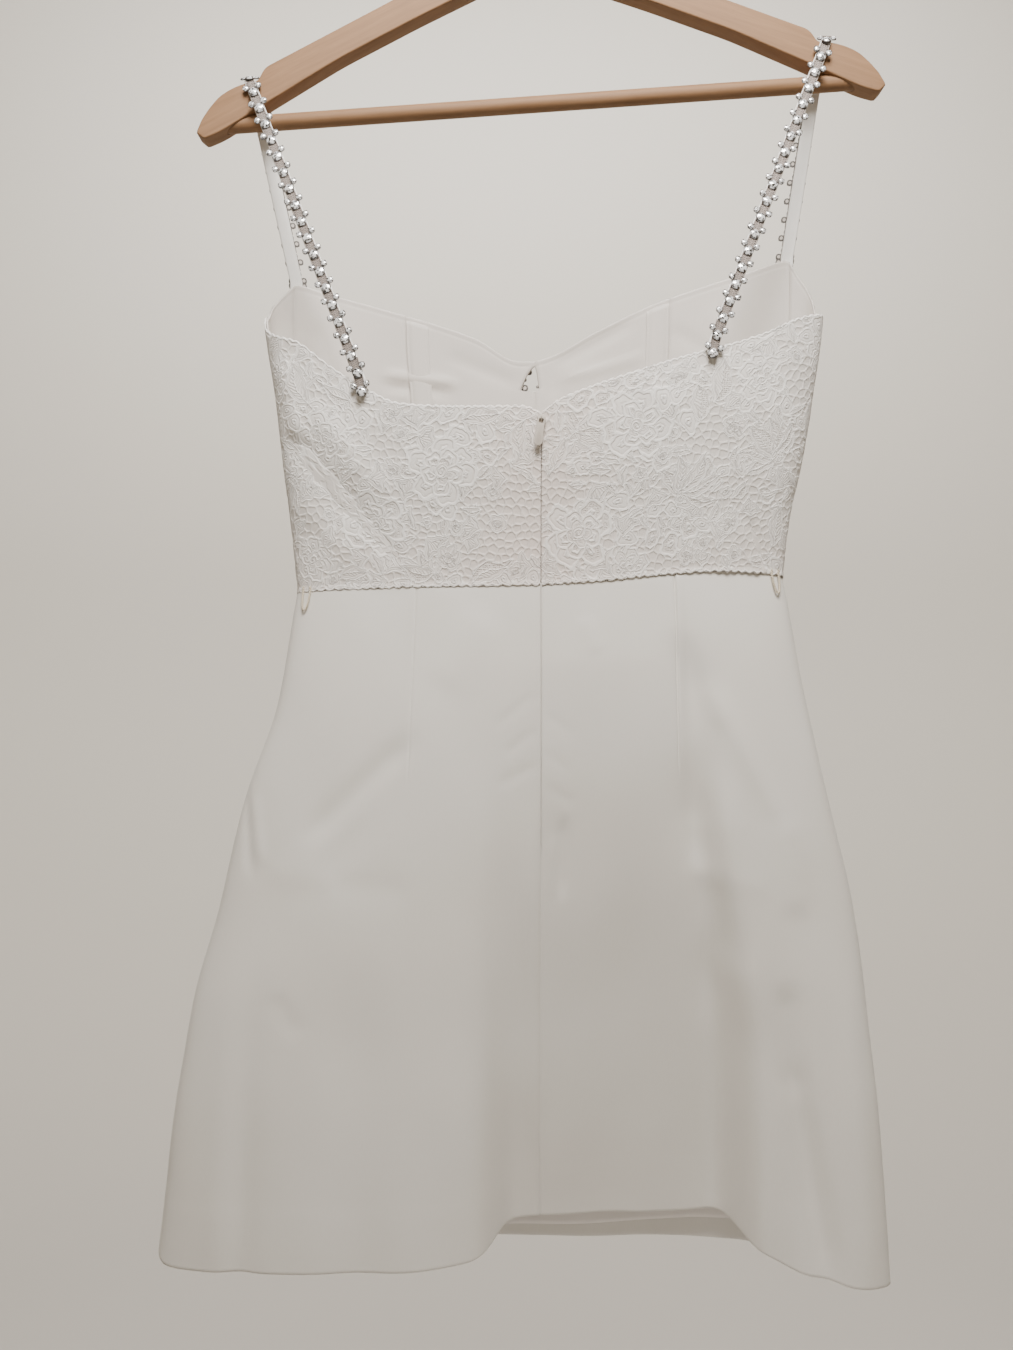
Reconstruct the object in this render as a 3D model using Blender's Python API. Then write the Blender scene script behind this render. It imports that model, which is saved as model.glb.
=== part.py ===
"""Short bridal dress with a lace bodice, hung by its crystal straps from a wooden hanger.

Blender units are metres and +Z is up. The origin is the inner top of the hanger's hook, where a
rail bears. The dress's back faces -Y, and +X is the right-hand side seen from there. The tables
hold millimetres. Places round the dress are given in degrees: 0 is the centre front, 90 the right
side, -90 the left side, and 180 or -180 the centre back.
"""

from collections import namedtuple
import math

import bmesh
import bpy
from mathutils import Matrix, Vector
import numpy as np

for old_object in list(bpy.data.objects):
    bpy.data.objects.remove(old_object, do_unlink=True)

# ---------------------------------------------------------------- driving dimensions, millimetres
MM = 0.001
SEAM_GAP = 0.3
LACE_THICKNESS = 1.2
SATIN_THICKNESS = 1.2
LINING_THICKNESS = 1.0
LAYER_GAP = 0.4
SKIRT_LINING_DEPTH = 3.2
CASING_WIDTH = 14.0
CASING_THICKNESS = 0.8

HANGER_TILT = math.radians(4.0)
NECK_SHIFT = 11.0
HANGER_THICKNESS = 12.6
BAR_DIAMETER = 10.0
BAR_HALF_LENGTH = 208.0
BAR_HEIGHT = -163.0
HOOK_WIRE = 3.8
HOOK_RADIUS = 20.0
HANGER_TOP = -58.0
STRAP_SEAT = (186.5, -139.3)

RIBBON_WIDTH = 8.0
BACK_RIBBON_WIDTH = 6.6
RIBBON_THICKNESS = 1.0
CRYSTAL_PITCH = 12.0
STRAP_OVERLAP = 3.0

KEYHOLE_LEFT = 9.6
KEYHOLE_RIGHT = 2.6
KEYHOLE_BEND = 0.6
KEYHOLE_TOP_JOIN = 3.0
KEYHOLE_DEPTH = 20.0
FRONT_CENTRE_SHIFT = -2.0

ZIP_END = -640.0
ZIP_SLIT = 1.0
ZIP_TAPE_HALF_WIDTH = 10.5
PULL_PIVOT_HEIGHT = -376.5
PULL_LENGTH = 18.0
PULL_WIDTH = 5.0
PULL_LEAN = 8.0

PRINCESS_SEAM = 30.0
LINING_SIDE_SEAM = 67.0
FRONT_STRAP = 65.5
BACK_STRAP_LEFT = 139.5
BACK_STRAP_RIGHT = 144.0

# ------------------------------------------------- tables: the edges, by degrees from centre front
Edge = namedtuple("Edge", "degrees left right")
TOP_EDGE = (
    Edge(0, -321, -321),
    Edge(3.5, -321, -317.5),
    Edge(13.5, -305, -300),
    Edge(28, -291.5, -280),
    Edge(48, -279.5, -264.5),
    Edge(65.5, -273.5, -257),
    Edge(71, -279.5, -268),
    Edge(78, -287, -279),
    Edge(84, -293, -289.5),
    Edge(90, -302.5, -303.5),
    Edge(97, -313, -305),
    Edge(109, -321, -307.5),
    Edge(119, -326, -312.5),
    Edge(131, -344, -323.5),
    Edge(142, -360, -332),
    Edge(149, -367.5, -337),
    Edge(162, -369.5, -349),
    Edge(176, -369.5, -365),
    Edge(180, -373, -373),
)
WAIST_EDGE = (
    Edge(0, -476, -476),
    Edge(45, -478.5, -473.5),
    Edge(90, -481, -471),
    Edge(135, -479.5, -468.5),
    Edge(150, -478.5, -470.5),
    Edge(165, -478, -474.5),
    Edge(180, -477.3, -477.3),
)
HEM_EDGE = (
    Edge(0, -913, -913),
    Edge(38, -911, -912),
    Edge(65, -903, -908),
    Edge(77, -892, -904),
    Edge(84, -888, -902),
    Edge(90, -884, -900),
    Edge(97, -888.5, -900),
    Edge(104, -891.5, -900),
    Edge(116, -892, -900),
    Edge(132, -892, -896),
    Edge(140, -892, -889),
    Edge(147, -892, -885),
    Edge(165, -892, -888),
    Edge(180, -890, -890),
)

# -------------------------------------- tables: half widths and depths, by height and by skirt level
BodiceLevel = namedtuple("BodiceLevel", "height left right front back")
BODICE_LEVELS = (
    BodiceLevel(-485, 157.0, 156.5, 20, -25),
    BodiceLevel(-435, 162.0, 162.0, 25, -29),
    BodiceLevel(-400, 166.5, 169.5, 29.5, -33),
    BodiceLevel(-355, 171.5, 177.0, 33, -35.5),
    BodiceLevel(-300, 179.0, 183.5, 34.5, -35),
    BodiceLevel(-250, 178.0, 184.0, 34, -34),
)
SkirtLevel = namedtuple("SkirtLevel", "level left right side_left side_right back_left back_right front")
SKIRT_LEVELS = (
    SkirtLevel(0.00, 157.3, 156.8, 0, 0, -25, -25, 20),
    SkirtLevel(0.18, 168.4, 169.5, -8, -8, -31, -31, 21),
    SkirtLevel(0.33, 188.3, 182.1, -12, -13, -36, -37, 22),
    SkirtLevel(0.49, 202.4, 196.5, -17, -19, -41, -43, 23),
    SkirtLevel(0.64, 217.4, 202.5, -22, -27, -46, -49, 24),
    SkirtLevel(0.79, 226.2, 206.4, -27, -36, -52, -56, 24.5),
    SkirtLevel(1.00, 234.5, 209.7, -32, -45, -57, -63, 25),
)
TOP_SQUARENESS = 3.0
HEM_BACK_SQUARENESS = 5.0

# The back's middle falls in towards the front. Each wall of that hollow is a soft step.
HOLLOW_START = 0.12
HOLLOW_DEPTH = 65.0
HOLLOW_GROWTH = 1.35
HollowWall = namedtuple("HollowWall", "side place_top place_hem softness share")
HOLLOW_WALLS = (
    HollowWall("left", -16, -29, 9, 0.75),
    HollowWall("left", -45, -60, 25, 0.25),
    HollowWall("right", 84, 127, 6, 0.62),
    HollowWall("right", 100, 156, 19, 0.38),
)

# Folds run down from start to end, as fractions of the skirt's length; a depth above 0 goes inwards.
Fold = namedtuple("Fold", "face start end place_start place_end width depth")
FOLDS = (
    Fold("back", 0.27, 0.50, -87, -150, 13, 3.5),
    Fold("back", 0.50, 1.20, -108, -112, 20, 3.0),
    Fold("back", 0.55, 1.20, -178, -182, 10, 2.5),
    Fold("back", 0.60, 1.20, 145, 171, 9, 6.0),
    Fold("back", 0.35, 1.20, 60, 44, 18, 2.5),
    Fold("front", 0.30, 1.20, -112, -128, 25, 8.0),
    Fold("front", 0.45, 1.20, -62, -70, 20, -3.0),
    Fold("front", 0.40, 1.20, 26, 32, 26, 2.0),
    Fold("front", 0.35, 1.20, 140, 158, 20, 7.0),
)

# The right half of the hanger's outline, from the middle of its top edge round to its underside.
Corner = namedtuple("Corner", "across height")
HANGER_OUTLINE = (
    Corner(0, HANGER_TOP),
    Corner(20, -61),
    Corner(177, -130.3),
    Corner(181.5, -139),
    Corner(190, -139.3),
    Corner(198.6, -142),
    Corner(207.4, -146.8),
    Corner(214.6, -154.3),
    Corner(219.7, -161.1),
    Corner(223.7, -169.1),
    Corner(219, -173.5),
    Corner(208.6, -170),
    Corner(192, -161.3),
    Corner(173.4, -151.4),
    Corner(127, -127.3),
    Corner(75, -104.5),
    Corner(20, -82),
    Corner(0, -80),
)

# ------------------------------------------------------------------------------ rows and columns
BODICE_ROWS = (0.0, 0.02, 0.129, 0.134, 0.3, 0.5, 0.7, 0.87, 1.0)
SKIRT_ROWS = np.linspace(0.0, 1.0, 13)
LINING_ROWS = np.linspace(0.0, 1.0, 7)
SKIRT_BACK_COLUMNS = 16
SKIRT_FRONT_COLUMNS = 18


def field(rows, name):
    """One named column of a table, as an array."""
    return np.array([getattr(row, name) for row in rows], float)


def between(where, places, values):
    """A smooth curve through a table's rows that never overshoots them."""
    steps = np.diff(places)
    slopes = np.diff(values) / steps
    tangents = np.zeros(len(values))
    product = slopes[:-1] * slopes[1:]
    total = slopes[:-1] + slopes[1:]
    turning = product <= 0
    tangents[1:-1] = np.where(turning, 0.0, 2 * product / np.where(turning, 1.0, total))
    tangents[0] = slopes[0]
    tangents[-1] = slopes[-1]
    where = np.clip(where, places[0], places[-1])
    index = np.clip(np.searchsorted(places, where) - 1, 0, len(steps) - 1)
    part = (where - places[index]) / steps[index]
    rise = values[index + 1] - values[index]
    ease = part * part * (3 - 2 * part)
    start = part * (1 - part) ** 2 * steps[index] * tangents[index]
    finish = part * part * (part - 1) * steps[index] * tangents[index + 1]
    return values[index] + rise * ease + start + finish


def edge_height(edge, degrees):
    """Height of an edge at some place round the dress."""
    places = field(edge, "degrees")
    left = between(np.abs(degrees), places, field(edge, "left"))
    right = between(np.abs(degrees), places, field(edge, "right"))
    return np.where(degrees < 0, left, right)


def soft_step(value):
    """Rises smoothly from 0 to 1 as the value goes from 0 to 1."""
    value = np.clip(value, 0.0, 1.0)
    return value * value * (3 - 2 * value)


def lens(degrees, squareness):
    """Share of the full depth at some place round a flattened ring."""
    sine = np.abs(np.sin(np.radians(degrees)))
    return np.maximum(1 - sine ** squareness, 0.0) ** (1 / squareness)


def bodice_point(degrees, height):
    """Outer surface of the bodice."""
    degrees, height = np.broadcast_arrays(np.asarray(degrees, float), np.asarray(height, float))
    places = field(BODICE_LEVELS, "height")
    left = between(height, places, field(BODICE_LEVELS, "left"))
    right = between(height, places, field(BODICE_LEVELS, "right"))
    front = between(height, places, field(BODICE_LEVELS, "front"))
    back = between(height, places, field(BODICE_LEVELS, "back"))
    facing = np.abs(degrees) <= 90
    half = np.where(degrees < 0, left, right)
    across = half * np.sin(np.radians(degrees))
    centre = np.where(facing, np.cos(np.radians(degrees)) ** 2, 0.0)
    rise = soft_step((height - places[0]) / (-321 - places[0]))
    across = across + FRONT_CENTRE_SHIFT * centre * rise
    depth = np.where(facing, front, back) * lens(degrees, TOP_SQUARENESS)
    return np.stack([across, depth, height], axis=-1)


def hollow(across, level):
    """How far the middle of the skirt's back falls in."""
    ease = 1 - level
    left = 0.0
    right = 0.0
    for wall in HOLLOW_WALLS:
        place = wall.place_top + (wall.place_hem - wall.place_top) * soft_step(level / 0.75)
        softness = wall.softness * (1 + 2.2 * ease)
        rise = 0.5 + 0.5 * np.tanh((across - place) / softness)
        if wall.side == "left":
            left = left + wall.share * rise
        else:
            right = right + wall.share * rise
    grown = np.maximum(level - HOLLOW_START, 0.0) / (1 - HOLLOW_START)
    return HOLLOW_DEPTH * grown ** HOLLOW_GROWTH * (left - right)


def folds(face, across, level):
    """How far the folds of one face go in."""
    total = 0.0
    for fold in FOLDS:
        if fold.face != face:
            continue
        run = np.clip((level - fold.start) / (min(fold.end, 1.0) - fold.start), 0.0, 1.0)
        place = fold.place_start + (fold.place_end - fold.place_start) * run
        swell = soft_step((level - fold.start) / 0.3) * soft_step((fold.end - level) / 0.15)
        total = total + fold.depth * swell * np.exp(-((across - place) / fold.width) ** 2)
    return total


def skirt_point(degrees, level):
    """Outer surface of the skirt; the level is 0 at the waist and 1 at the hem."""
    degrees, level = np.broadcast_arrays(np.asarray(degrees, float), np.asarray(level, float))
    places = field(SKIRT_LEVELS, "level")
    column = {}
    for name in SkirtLevel._fields[1:]:
        column[name] = between(level, places, field(SKIRT_LEVELS, name))
    sine = np.sin(np.radians(degrees))
    share = (1 + sine) / 2
    half = np.where(degrees < 0, column["left"], column["right"])
    across = half * sine
    side = column["side_left"] * (1 - share) + column["side_right"] * share
    back = column["back_left"] * (1 - share) + column["back_right"] * share
    back_square = TOP_SQUARENESS + (HEM_BACK_SQUARENESS - TOP_SQUARENESS) * level
    facing = np.abs(degrees) <= 90
    front_lens = lens(degrees, TOP_SQUARENESS)
    back_lens = lens(degrees, back_square)
    front_depth = side + (column["front"] - side) * front_lens
    front_depth = front_depth - folds("front", across, level) * front_lens
    back_depth = side + (back - side) * back_lens
    back_depth = back_depth + (hollow(across, level) + folds("back", across, level)) * back_lens
    depth = np.where(facing, front_depth, back_depth)
    waist = edge_height(WAIST_EDGE, degrees)
    height = waist + (edge_height(HEM_EDGE, degrees) - waist) * level
    return np.stack([across, depth, height], axis=-1)


def even_degrees(low, high, count, ring):
    """Places from low to high that lie equal cloth lengths apart along a ring."""
    fine = np.linspace(low, high, 2001)
    points = ring(fine)
    lengths = np.linalg.norm(np.diff(points, axis=0), axis=1)
    along = np.concatenate([[0.0], np.cumsum(lengths)])
    return np.interp(np.linspace(0.0, along[-1], count + 1), along, fine)


def bodice_ring(degrees):
    """The bodice's ring that spaces its columns."""
    return bodice_point(degrees, -400.0)


def hem_ring(degrees):
    """The skirt's ring that spaces its columns."""
    return skirt_point(degrees, 1.0)


def outward(grid):
    """Unit normals of a grid whose columns go round by degrees and whose rows go down."""
    round_way = np.gradient(grid, axis=1)
    down_way = np.gradient(grid, axis=0)
    normals = np.cross(round_way, down_way)
    return normals / np.linalg.norm(normals, axis=2, keepdims=True)


def layer(grid, depth, thickness):
    """Outer and inner face of a cloth that lies some depth inside a grid."""
    normals = outward(grid)
    return grid - normals * depth, grid - normals * (depth + thickness)


def trim_line(line, neighbour, distance):
    """Moves one edge of a grid towards the line of points beside it."""
    way = neighbour - line
    length = np.linalg.norm(way, axis=1, keepdims=True)
    return line + way * (np.reshape(distance, (-1, 1)) / length)


def trimmed(grid, first=0.0, last=0.0, top=0.0, bottom=0.0):
    """A grid cut back at its edges; each distance is one number or one for each row."""
    result = grid.copy()
    result[:, 0] = trim_line(grid[:, 0], grid[:, 1], first)
    result[:, -1] = trim_line(grid[:, -1], grid[:, -2], last)
    upper = result[0].copy()
    lower = result[-1].copy()
    result[0] = trim_line(upper, result[1], top)
    result[-1] = trim_line(lower, result[-2], bottom)
    return result


def material(name, colour, roughness, metallic=0.0):
    """A Principled material."""
    made = bpy.data.materials.new(name)
    made.use_nodes = True
    shader = made.node_tree.nodes["Principled BSDF"]
    shader.inputs["Base Color"].default_value = (*colour, 1.0)
    shader.inputs["Roughness"].default_value = roughness
    shader.inputs["Metallic"].default_value = metallic
    return made


def new_object(name, mesh, finish):
    """Puts a mesh in the scene as a named object of one material."""
    mesh.materials.append(finish)
    made = bpy.data.objects.new(name, mesh)
    bpy.context.scene.collection.objects.link(made)
    return made


def mesh_from(name, points, faces):
    """A mesh from points in millimetres."""
    mesh = bpy.data.meshes.new(name)
    mesh.from_pydata([tuple(point * MM for point in corner) for corner in points], [], faces)
    mesh.update()
    return mesh


def wall(name, faces_of_cloth, finish, **cuts):
    """A closed wall of cloth: its outer face, its inner face and the rim between them."""
    outer, inner = (trimmed(grid, **cuts) for grid in faces_of_cloth)
    rows, columns = outer.shape[:2]
    shift = np.array([NECK_SHIFT, 0.0, 0.0])
    points = np.concatenate([outer.reshape(-1, 3), inner.reshape(-1, 3)]) + shift
    count = rows * columns
    faces = []
    for row in range(rows - 1):
        for column in range(columns - 1):
            corner = row * columns + column
            right = corner + 1
            below = corner + columns
            across = below + 1
            faces.append((corner, right, across))
            faces.append((corner, across, below))
            faces.append((corner + count, across + count, right + count))
            faces.append((corner + count, below + count, across + count))
    rim = [column for column in range(columns)]
    rim += [row * columns + columns - 1 for row in range(1, rows)]
    rim += [(rows - 1) * columns + column for column in range(columns - 2, -1, -1)]
    rim += [row * columns for row in range(rows - 2, 0, -1)]
    for here, following in zip(rim, rim[1:] + rim[:1]):
        faces.append((following, here, here + count, following + count))
    mesh = mesh_from(name, points, turned_out(faces, points))
    return new_object(name, mesh, finish)


def turned_out(faces, points):
    """The faces of a closed body, all turned so that they point out of it."""
    volume = 0.0
    for face in faces:
        first = points[face[0]]
        for second, third in zip(face[1:-1], face[2:]):
            volume += np.dot(first, np.cross(points[second], points[third]))
    if volume < 0:
        return [tuple(reversed(face)) for face in faces]
    return faces


def sweep(name, sections, finish):
    """A closed bar through sections that each have the same number of points."""
    sections = np.asarray(sections)
    count, corners = sections.shape[:2]
    points = sections.reshape(-1, 3)
    faces = []
    for section in range(count - 1):
        for corner in range(corners):
            here = section * corners + corner
            beside = section * corners + (corner + 1) % corners
            faces.append((here, beside, beside + corners, here + corners))
    last = (count - 1) * corners
    faces.append(tuple(reversed(range(corners))))
    faces.append(tuple(range(last, last + corners)))
    mesh = mesh_from(name, points, turned_out(faces, points))
    return new_object(name, mesh, finish)


def extruded(name, outline, low, high, finish):
    """A plate in the XZ plane, from low to high along Y."""
    sections = [[(x, y, z) for x, z in outline] for y in (low, high)]
    return sweep(name, sections, finish)


def cutter_of(maker, *values):
    """A guide body that only cuts others."""
    guide = maker(*values)
    guide.hide_render = True
    guide.display_type = "WIRE"
    return guide


def boolean(target, other, operation):
    """Adds or cuts one body with another."""
    modifier = target.modifiers.new(operation.lower(), "BOOLEAN")
    modifier.operation = operation
    modifier.solver = "EXACT"
    modifier.object = other


def round_bar(name, start, end, diameter, sides, finish):
    """A round bar from start to end, in millimetres."""
    start = Vector(start) * MM
    end = Vector(end) * MM
    along = end - start
    mesh = bpy.data.meshes.new(name)
    shape = bmesh.new()
    bmesh.ops.create_cone(
        shape,
        cap_ends=True,
        segments=sides,
        radius1=diameter / 2 * MM,
        radius2=diameter / 2 * MM,
        depth=along.length,
    )
    turn = along.to_track_quat("Z", "Y").to_matrix().to_4x4()
    shape.transform(Matrix.Translation((start + end) / 2) @ turn)
    shape.to_mesh(mesh)
    shape.free()
    mesh.shade_smooth()
    mesh.set_sharp_from_angle(angle=math.radians(40))
    return new_object(name, mesh, finish)


def wire(name, points, diameter, finish, resolution=2):
    """A bent round wire through points in millimetres."""
    curve = bpy.data.curves.new(name, "CURVE")
    curve.dimensions = "3D"
    curve.bevel_depth = diameter / 2 * MM
    curve.bevel_resolution = resolution
    curve.use_fill_caps = True
    spline = curve.splines.new("POLY")
    spline.points.add(len(points) - 1)
    for point, place in zip(spline.points, points):
        point.co = (place[0] * MM, place[1] * MM, place[2] * MM, 1.0)
    curve.materials.append(finish)
    made = bpy.data.objects.new(name, curve)
    bpy.context.scene.collection.objects.link(made)
    return made


# ------------------------------------------------------------------------------------- materials
LACE = material("lace", (0.80, 0.775, 0.745), 0.75)
SATIN = material("satin", (0.74, 0.73, 0.70), 0.55)
LINING = material("lining", (0.78, 0.755, 0.73), 0.6)
RIBBON = material("ribbon", (0.80, 0.79, 0.76), 0.35)
CRYSTAL = material("crystal", (0.80, 0.80, 0.80), 0.08, 0.9)
ZIP_CLOTH = material("zip cloth", (0.62, 0.60, 0.57), 0.7)
ZIP_METAL = material("zip metal", (0.72, 0.70, 0.67), 0.35, 0.6)
THREAD = material("thread", (0.72, 0.66, 0.55), 0.8)
WOOD = material("wood", (0.56, 0.42, 0.28), 0.5)
STEEL = material("steel", (0.70, 0.70, 0.70), 0.25, 1.0)


# ---------------------------------------------------------------------------------------- bodice
def bodice_columns():
    """Places of the bodice's columns all round it; every seam of the lining falls on one."""
    stretches = (
        (0.0, PRINCESS_SEAM, 4),
        (PRINCESS_SEAM, LINING_SIDE_SEAM, 5),
        (LINING_SIDE_SEAM, 90.0, 4),
        (90.0, 180.0, 12),
    )
    half = [0.0]
    for low, high, count in stretches:
        half.extend(even_degrees(low, high, count, bodice_ring)[1:])
    half = np.array(half)
    return np.concatenate([-half[:0:-1], half])


def bodice_grid(columns, rows):
    """Outer surface of the bodice between its top edge and its waist seam."""
    top = edge_height(TOP_EDGE, columns)
    waist = edge_height(WAIST_EDGE, columns)
    heights = top + (waist - top) * np.reshape(rows, (-1, 1))
    return bodice_point(columns, heights)


def keyhole_cut(heights, reach):
    """How far a front half stands back from the centre front, by height."""
    top = TOP_EDGE[0].left - KEYHOLE_TOP_JOIN
    base = TOP_EDGE[0].left - KEYHOLE_DEPTH
    share = np.clip((top - heights) / (top - base), 0.0, 1.0)
    inside = heights >= base - 0.5
    return SEAM_GAP / 2 + np.where(inside, share ** KEYHOLE_BEND * reach, 0.0)


def stretch_of(cloth, columns, low, high):
    """The part of a cloth's two faces that lies between two places."""
    first = int(np.argmin(np.abs(columns - low)))
    last = int(np.argmin(np.abs(columns - high)))
    return [grid[:, first:last + 1] for grid in cloth]


def bodice():
    """Lace, lining and boning casings of the bodice."""
    columns = bodice_columns()
    grid = bodice_grid(columns, BODICE_ROWS)
    lining_depth = LACE_THICKNESS + LAYER_GAP
    lace = layer(grid, 0.0, LACE_THICKNESS)
    lining = layer(grid, lining_depth, LINING_THICKNESS)
    half_gap = SEAM_GAP / 2
    centre = grid[:, len(columns) // 2, 2]
    keyhole = (keyhole_cut(centre, KEYHOLE_LEFT), keyhole_cut(centre, KEYHOLE_RIGHT))
    closed = (half_gap, half_gap)
    zip_edge = ZIP_TAPE_HALF_WIDTH + 2.4
    pieces = (
        ("lace_front", lace, LACE, 0.0, 90.0, keyhole, half_gap),
        ("lace_back", lace, LACE, 90.0, 180.0, closed, ZIP_SLIT / 2),
        ("lining_front_centre", lining, LINING, 0.0, PRINCESS_SEAM, keyhole, half_gap),
        ("lining_front_side", lining, LINING, PRINCESS_SEAM, LINING_SIDE_SEAM, closed, half_gap),
        ("lining_back", lining, LINING, LINING_SIDE_SEAM, 180.0, closed, zip_edge),
    )
    for name, cloth, finish, near, far, near_cut, far_cut in pieces:
        right = stretch_of(cloth, columns, near, far)
        wall(f"{name}_right", right, finish, first=near_cut[1], last=far_cut, bottom=half_gap)
        left = stretch_of(cloth, columns, -far, -near)
        wall(f"{name}_left", left, finish, first=far_cut, last=near_cut[0], bottom=half_gap)

    depth = lining_depth + LINING_THICKNESS + LAYER_GAP
    for side, word in ((-1, "left"), (1, "right")):
        seam = int(np.argmin(np.abs(columns - side * PRINCESS_SEAM)))
        casing = []
        for face in layer(grid, depth, CASING_THICKNESS):
            beside = face[1:, seam]
            way = face[1:, seam - side] - beside
            way /= np.linalg.norm(way, axis=1, keepdims=True)
            edges = [beside + way * CASING_WIDTH, beside + way]
            casing.append(np.stack(edges[::side], axis=1))
        wall(f"boning_casing_{word}", casing, LINING, bottom=half_gap)


# ----------------------------------------------------------------------------------------- skirt
def zip_opening(heights, wide, narrow, fade):
    """Half the gap at the centre back: wide along the zip, then narrow along the seam."""
    return narrow + (wide - narrow) * soft_step((heights - ZIP_END + fade) / fade)


def skirt():
    """The skirt's two backs and front, and the three pieces of its lining."""
    back = even_degrees(90.0, 180.0, SKIRT_BACK_COLUMNS, hem_ring)
    left_back = even_degrees(-180.0, -90.0, SKIRT_BACK_COLUMNS, hem_ring)
    front = even_degrees(-90.0, 90.0, SKIRT_FRONT_COLUMNS, hem_ring)
    columns = np.concatenate([left_back, front[1:-1], back])
    rows = np.reshape(SKIRT_ROWS, (-1, 1))
    grid = skirt_point(columns, rows)
    half_gap = SEAM_GAP / 2
    slit = zip_opening(grid[:, 0, 2], ZIP_SLIT / 2, half_gap, 20.0)
    satin = layer(grid, 0.0, SATIN_THICKNESS)

    length = edge_height(WAIST_EDGE, columns) - edge_height(HEM_EDGE, columns)
    lift = 12.0 - 2.5 * np.cos(np.radians(columns)) + 6.0 * np.exp(-((columns - 38.0) / 20.0) ** 2)
    levels = np.reshape(LINING_ROWS, (-1, 1)) * (1 - lift / length)
    heights = skirt_point(180.0, levels[:, -1])[:, 2]
    opening = zip_opening(heights, ZIP_TAPE_HALF_WIDTH + 0.5, half_gap, 60.0)
    parted = np.degrees(opening / 157.0).reshape(-1, 1)
    away = np.maximum(np.abs(columns) - 90.0, 0.0) / 90.0
    lining_grid = skirt_point(columns - np.sign(columns) * parted * away, levels)
    lining = layer(lining_grid, SKIRT_LINING_DEPTH, LINING_THICKNESS)

    for name, cloth, finish, centre, top in (
        ("skirt", satin, SATIN, slit, half_gap),
        ("skirt_lining", lining, LINING, 0.0, 1.0),
    ):
        right = stretch_of(cloth, columns, 90.0, 180.0)
        wall(f"{name}_back_right", right, finish, first=half_gap, last=centre, top=top)
        left = stretch_of(cloth, columns, -180.0, -90.0)
        wall(f"{name}_back_left", left, finish, first=centre, last=half_gap, top=top)
        middle = stretch_of(cloth, columns, -90.0, 90.0)
        wall(f"{name}_front", middle, finish, first=half_gap, last=half_gap, top=top)


# ------------------------------------------------------------------------------------------- zip
def beside_centre_back(offset, surface, row):
    """The point of a surface's row that lies some way across from the centre back."""
    side = 1.0 if offset >= 0 else -1.0
    half = abs(float(surface(side * 90.0, row)[0]))
    degrees = side * (180.0 - math.degrees(math.asin(abs(offset) / half)))
    return surface(degrees, row)


def zip_tape():
    """The closed zip's tape, behind the slit at the centre back."""
    offsets = [share * ZIP_TAPE_HALF_WIDTH for share in (1.0, 0.45, 0.0, -0.45, -1.0)]
    rows = []
    for height in (-376.0, -400.0, -425.0, -450.0, -474.0):
        rows.append([beside_centre_back(offset, bodice_point, height) for offset in offsets])
    for level in (0.02, 0.10, 0.18, 0.26, 0.33, 0.39):
        rows.append([beside_centre_back(offset, skirt_point, level) for offset in offsets])
    wall("zip_tape", layer(np.array(rows), SATIN_THICKNESS + 1.0, 0.8), ZIP_CLOTH)


def leaned(places, pivot):
    """Places of the pull, across and up from its pivot, once it leans to the left."""
    cosine = math.cos(math.radians(PULL_LEAN))
    sine = math.sin(math.radians(PULL_LEAN))
    return [(pivot[0] + x * cosine + z * sine, pivot[2] - x * sine + z * cosine) for x, z in places]


def zip_slider_and_pull():
    """The slider, whose bail holds the crossbar of the teardrop pull."""
    bar_depth = 1.2
    bar_height = 1.0
    bail_inner = 1.2
    bail_outer = 2.0
    bail_width = 1.4
    plate_thickness = 1.2
    surface = float(bodice_point(180.0, PULL_PIVOT_HEIGHT - 2.0)[1]) - 0.6
    plate_front = surface - plate_thickness
    pivot_depth = plate_front - 1.1
    pivot = (NECK_SHIFT, pivot_depth, PULL_PIVOT_HEIGHT)

    half = 2.6
    plate = []
    for degrees in range(0, 360, 30):
        angle = math.radians(degrees)
        stretch = 2.3 if math.sin(angle) < 0 else 0.0
        plate.append((pivot[0] + half * math.cos(angle),
                      pivot[2] - stretch + half * math.sin(angle)))
    slider = extruded("zip_slider", plate, plate_front, surface, ZIP_METAL)

    arch = []
    steps = 8
    for radius, order in ((bail_outer, range(steps + 1)), (bail_inner, range(steps, -1, -1))):
        leg = (pivot_depth + 1.3, radius)
        if radius == bail_outer:
            arch.append(leg)
        for step in order:
            angle = math.pi * step / steps
            arch.append((pivot_depth - radius * math.sin(angle), radius * math.cos(angle)))
        if radius == bail_outer:
            arch.append((pivot_depth + 1.3, -bail_outer))
            arch.append((pivot_depth + 1.3, -bail_inner))
        else:
            arch.append(leg)
    sections = []
    for x in (pivot[0] - bail_width / 2, pivot[0] + bail_width / 2):
        sections.append([(x, depth, pivot[2] + height) for depth, height in arch])
    bail = cutter_of(sweep, "bail_guide", sections, ZIP_METAL)
    boolean(slider, bail, "UNION")

    radius = PULL_WIDTH / 2
    neck = 2.4
    eye_half = 1.4
    bottom = PULL_LENGTH - bar_depth / 2 - radius
    outline = [(-neck, bar_depth / 2), (neck, bar_depth / 2), (neck, -4.5)]
    for step in range(9):
        angle = math.radians(12 - step * 25.5)
        outline.append((radius * math.cos(angle), -bottom + radius * math.sin(angle)))
    outline.append((-neck, -4.5))
    pull = extruded("zip_pull", leaned(outline, pivot), pivot_depth - bar_height / 2,
                    pivot_depth + bar_height / 2, ZIP_METAL)
    eye = [(-eye_half, -bar_depth / 2), (eye_half, -bar_depth / 2), (eye_half, -3.4), (-eye_half, -3.4)]
    eye = leaned(eye, pivot)
    hole = cutter_of(extruded, "eye_guide", eye, pivot_depth - 2, pivot_depth + 2, ZIP_METAL)
    boolean(pull, hole, "DIFFERENCE")


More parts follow.
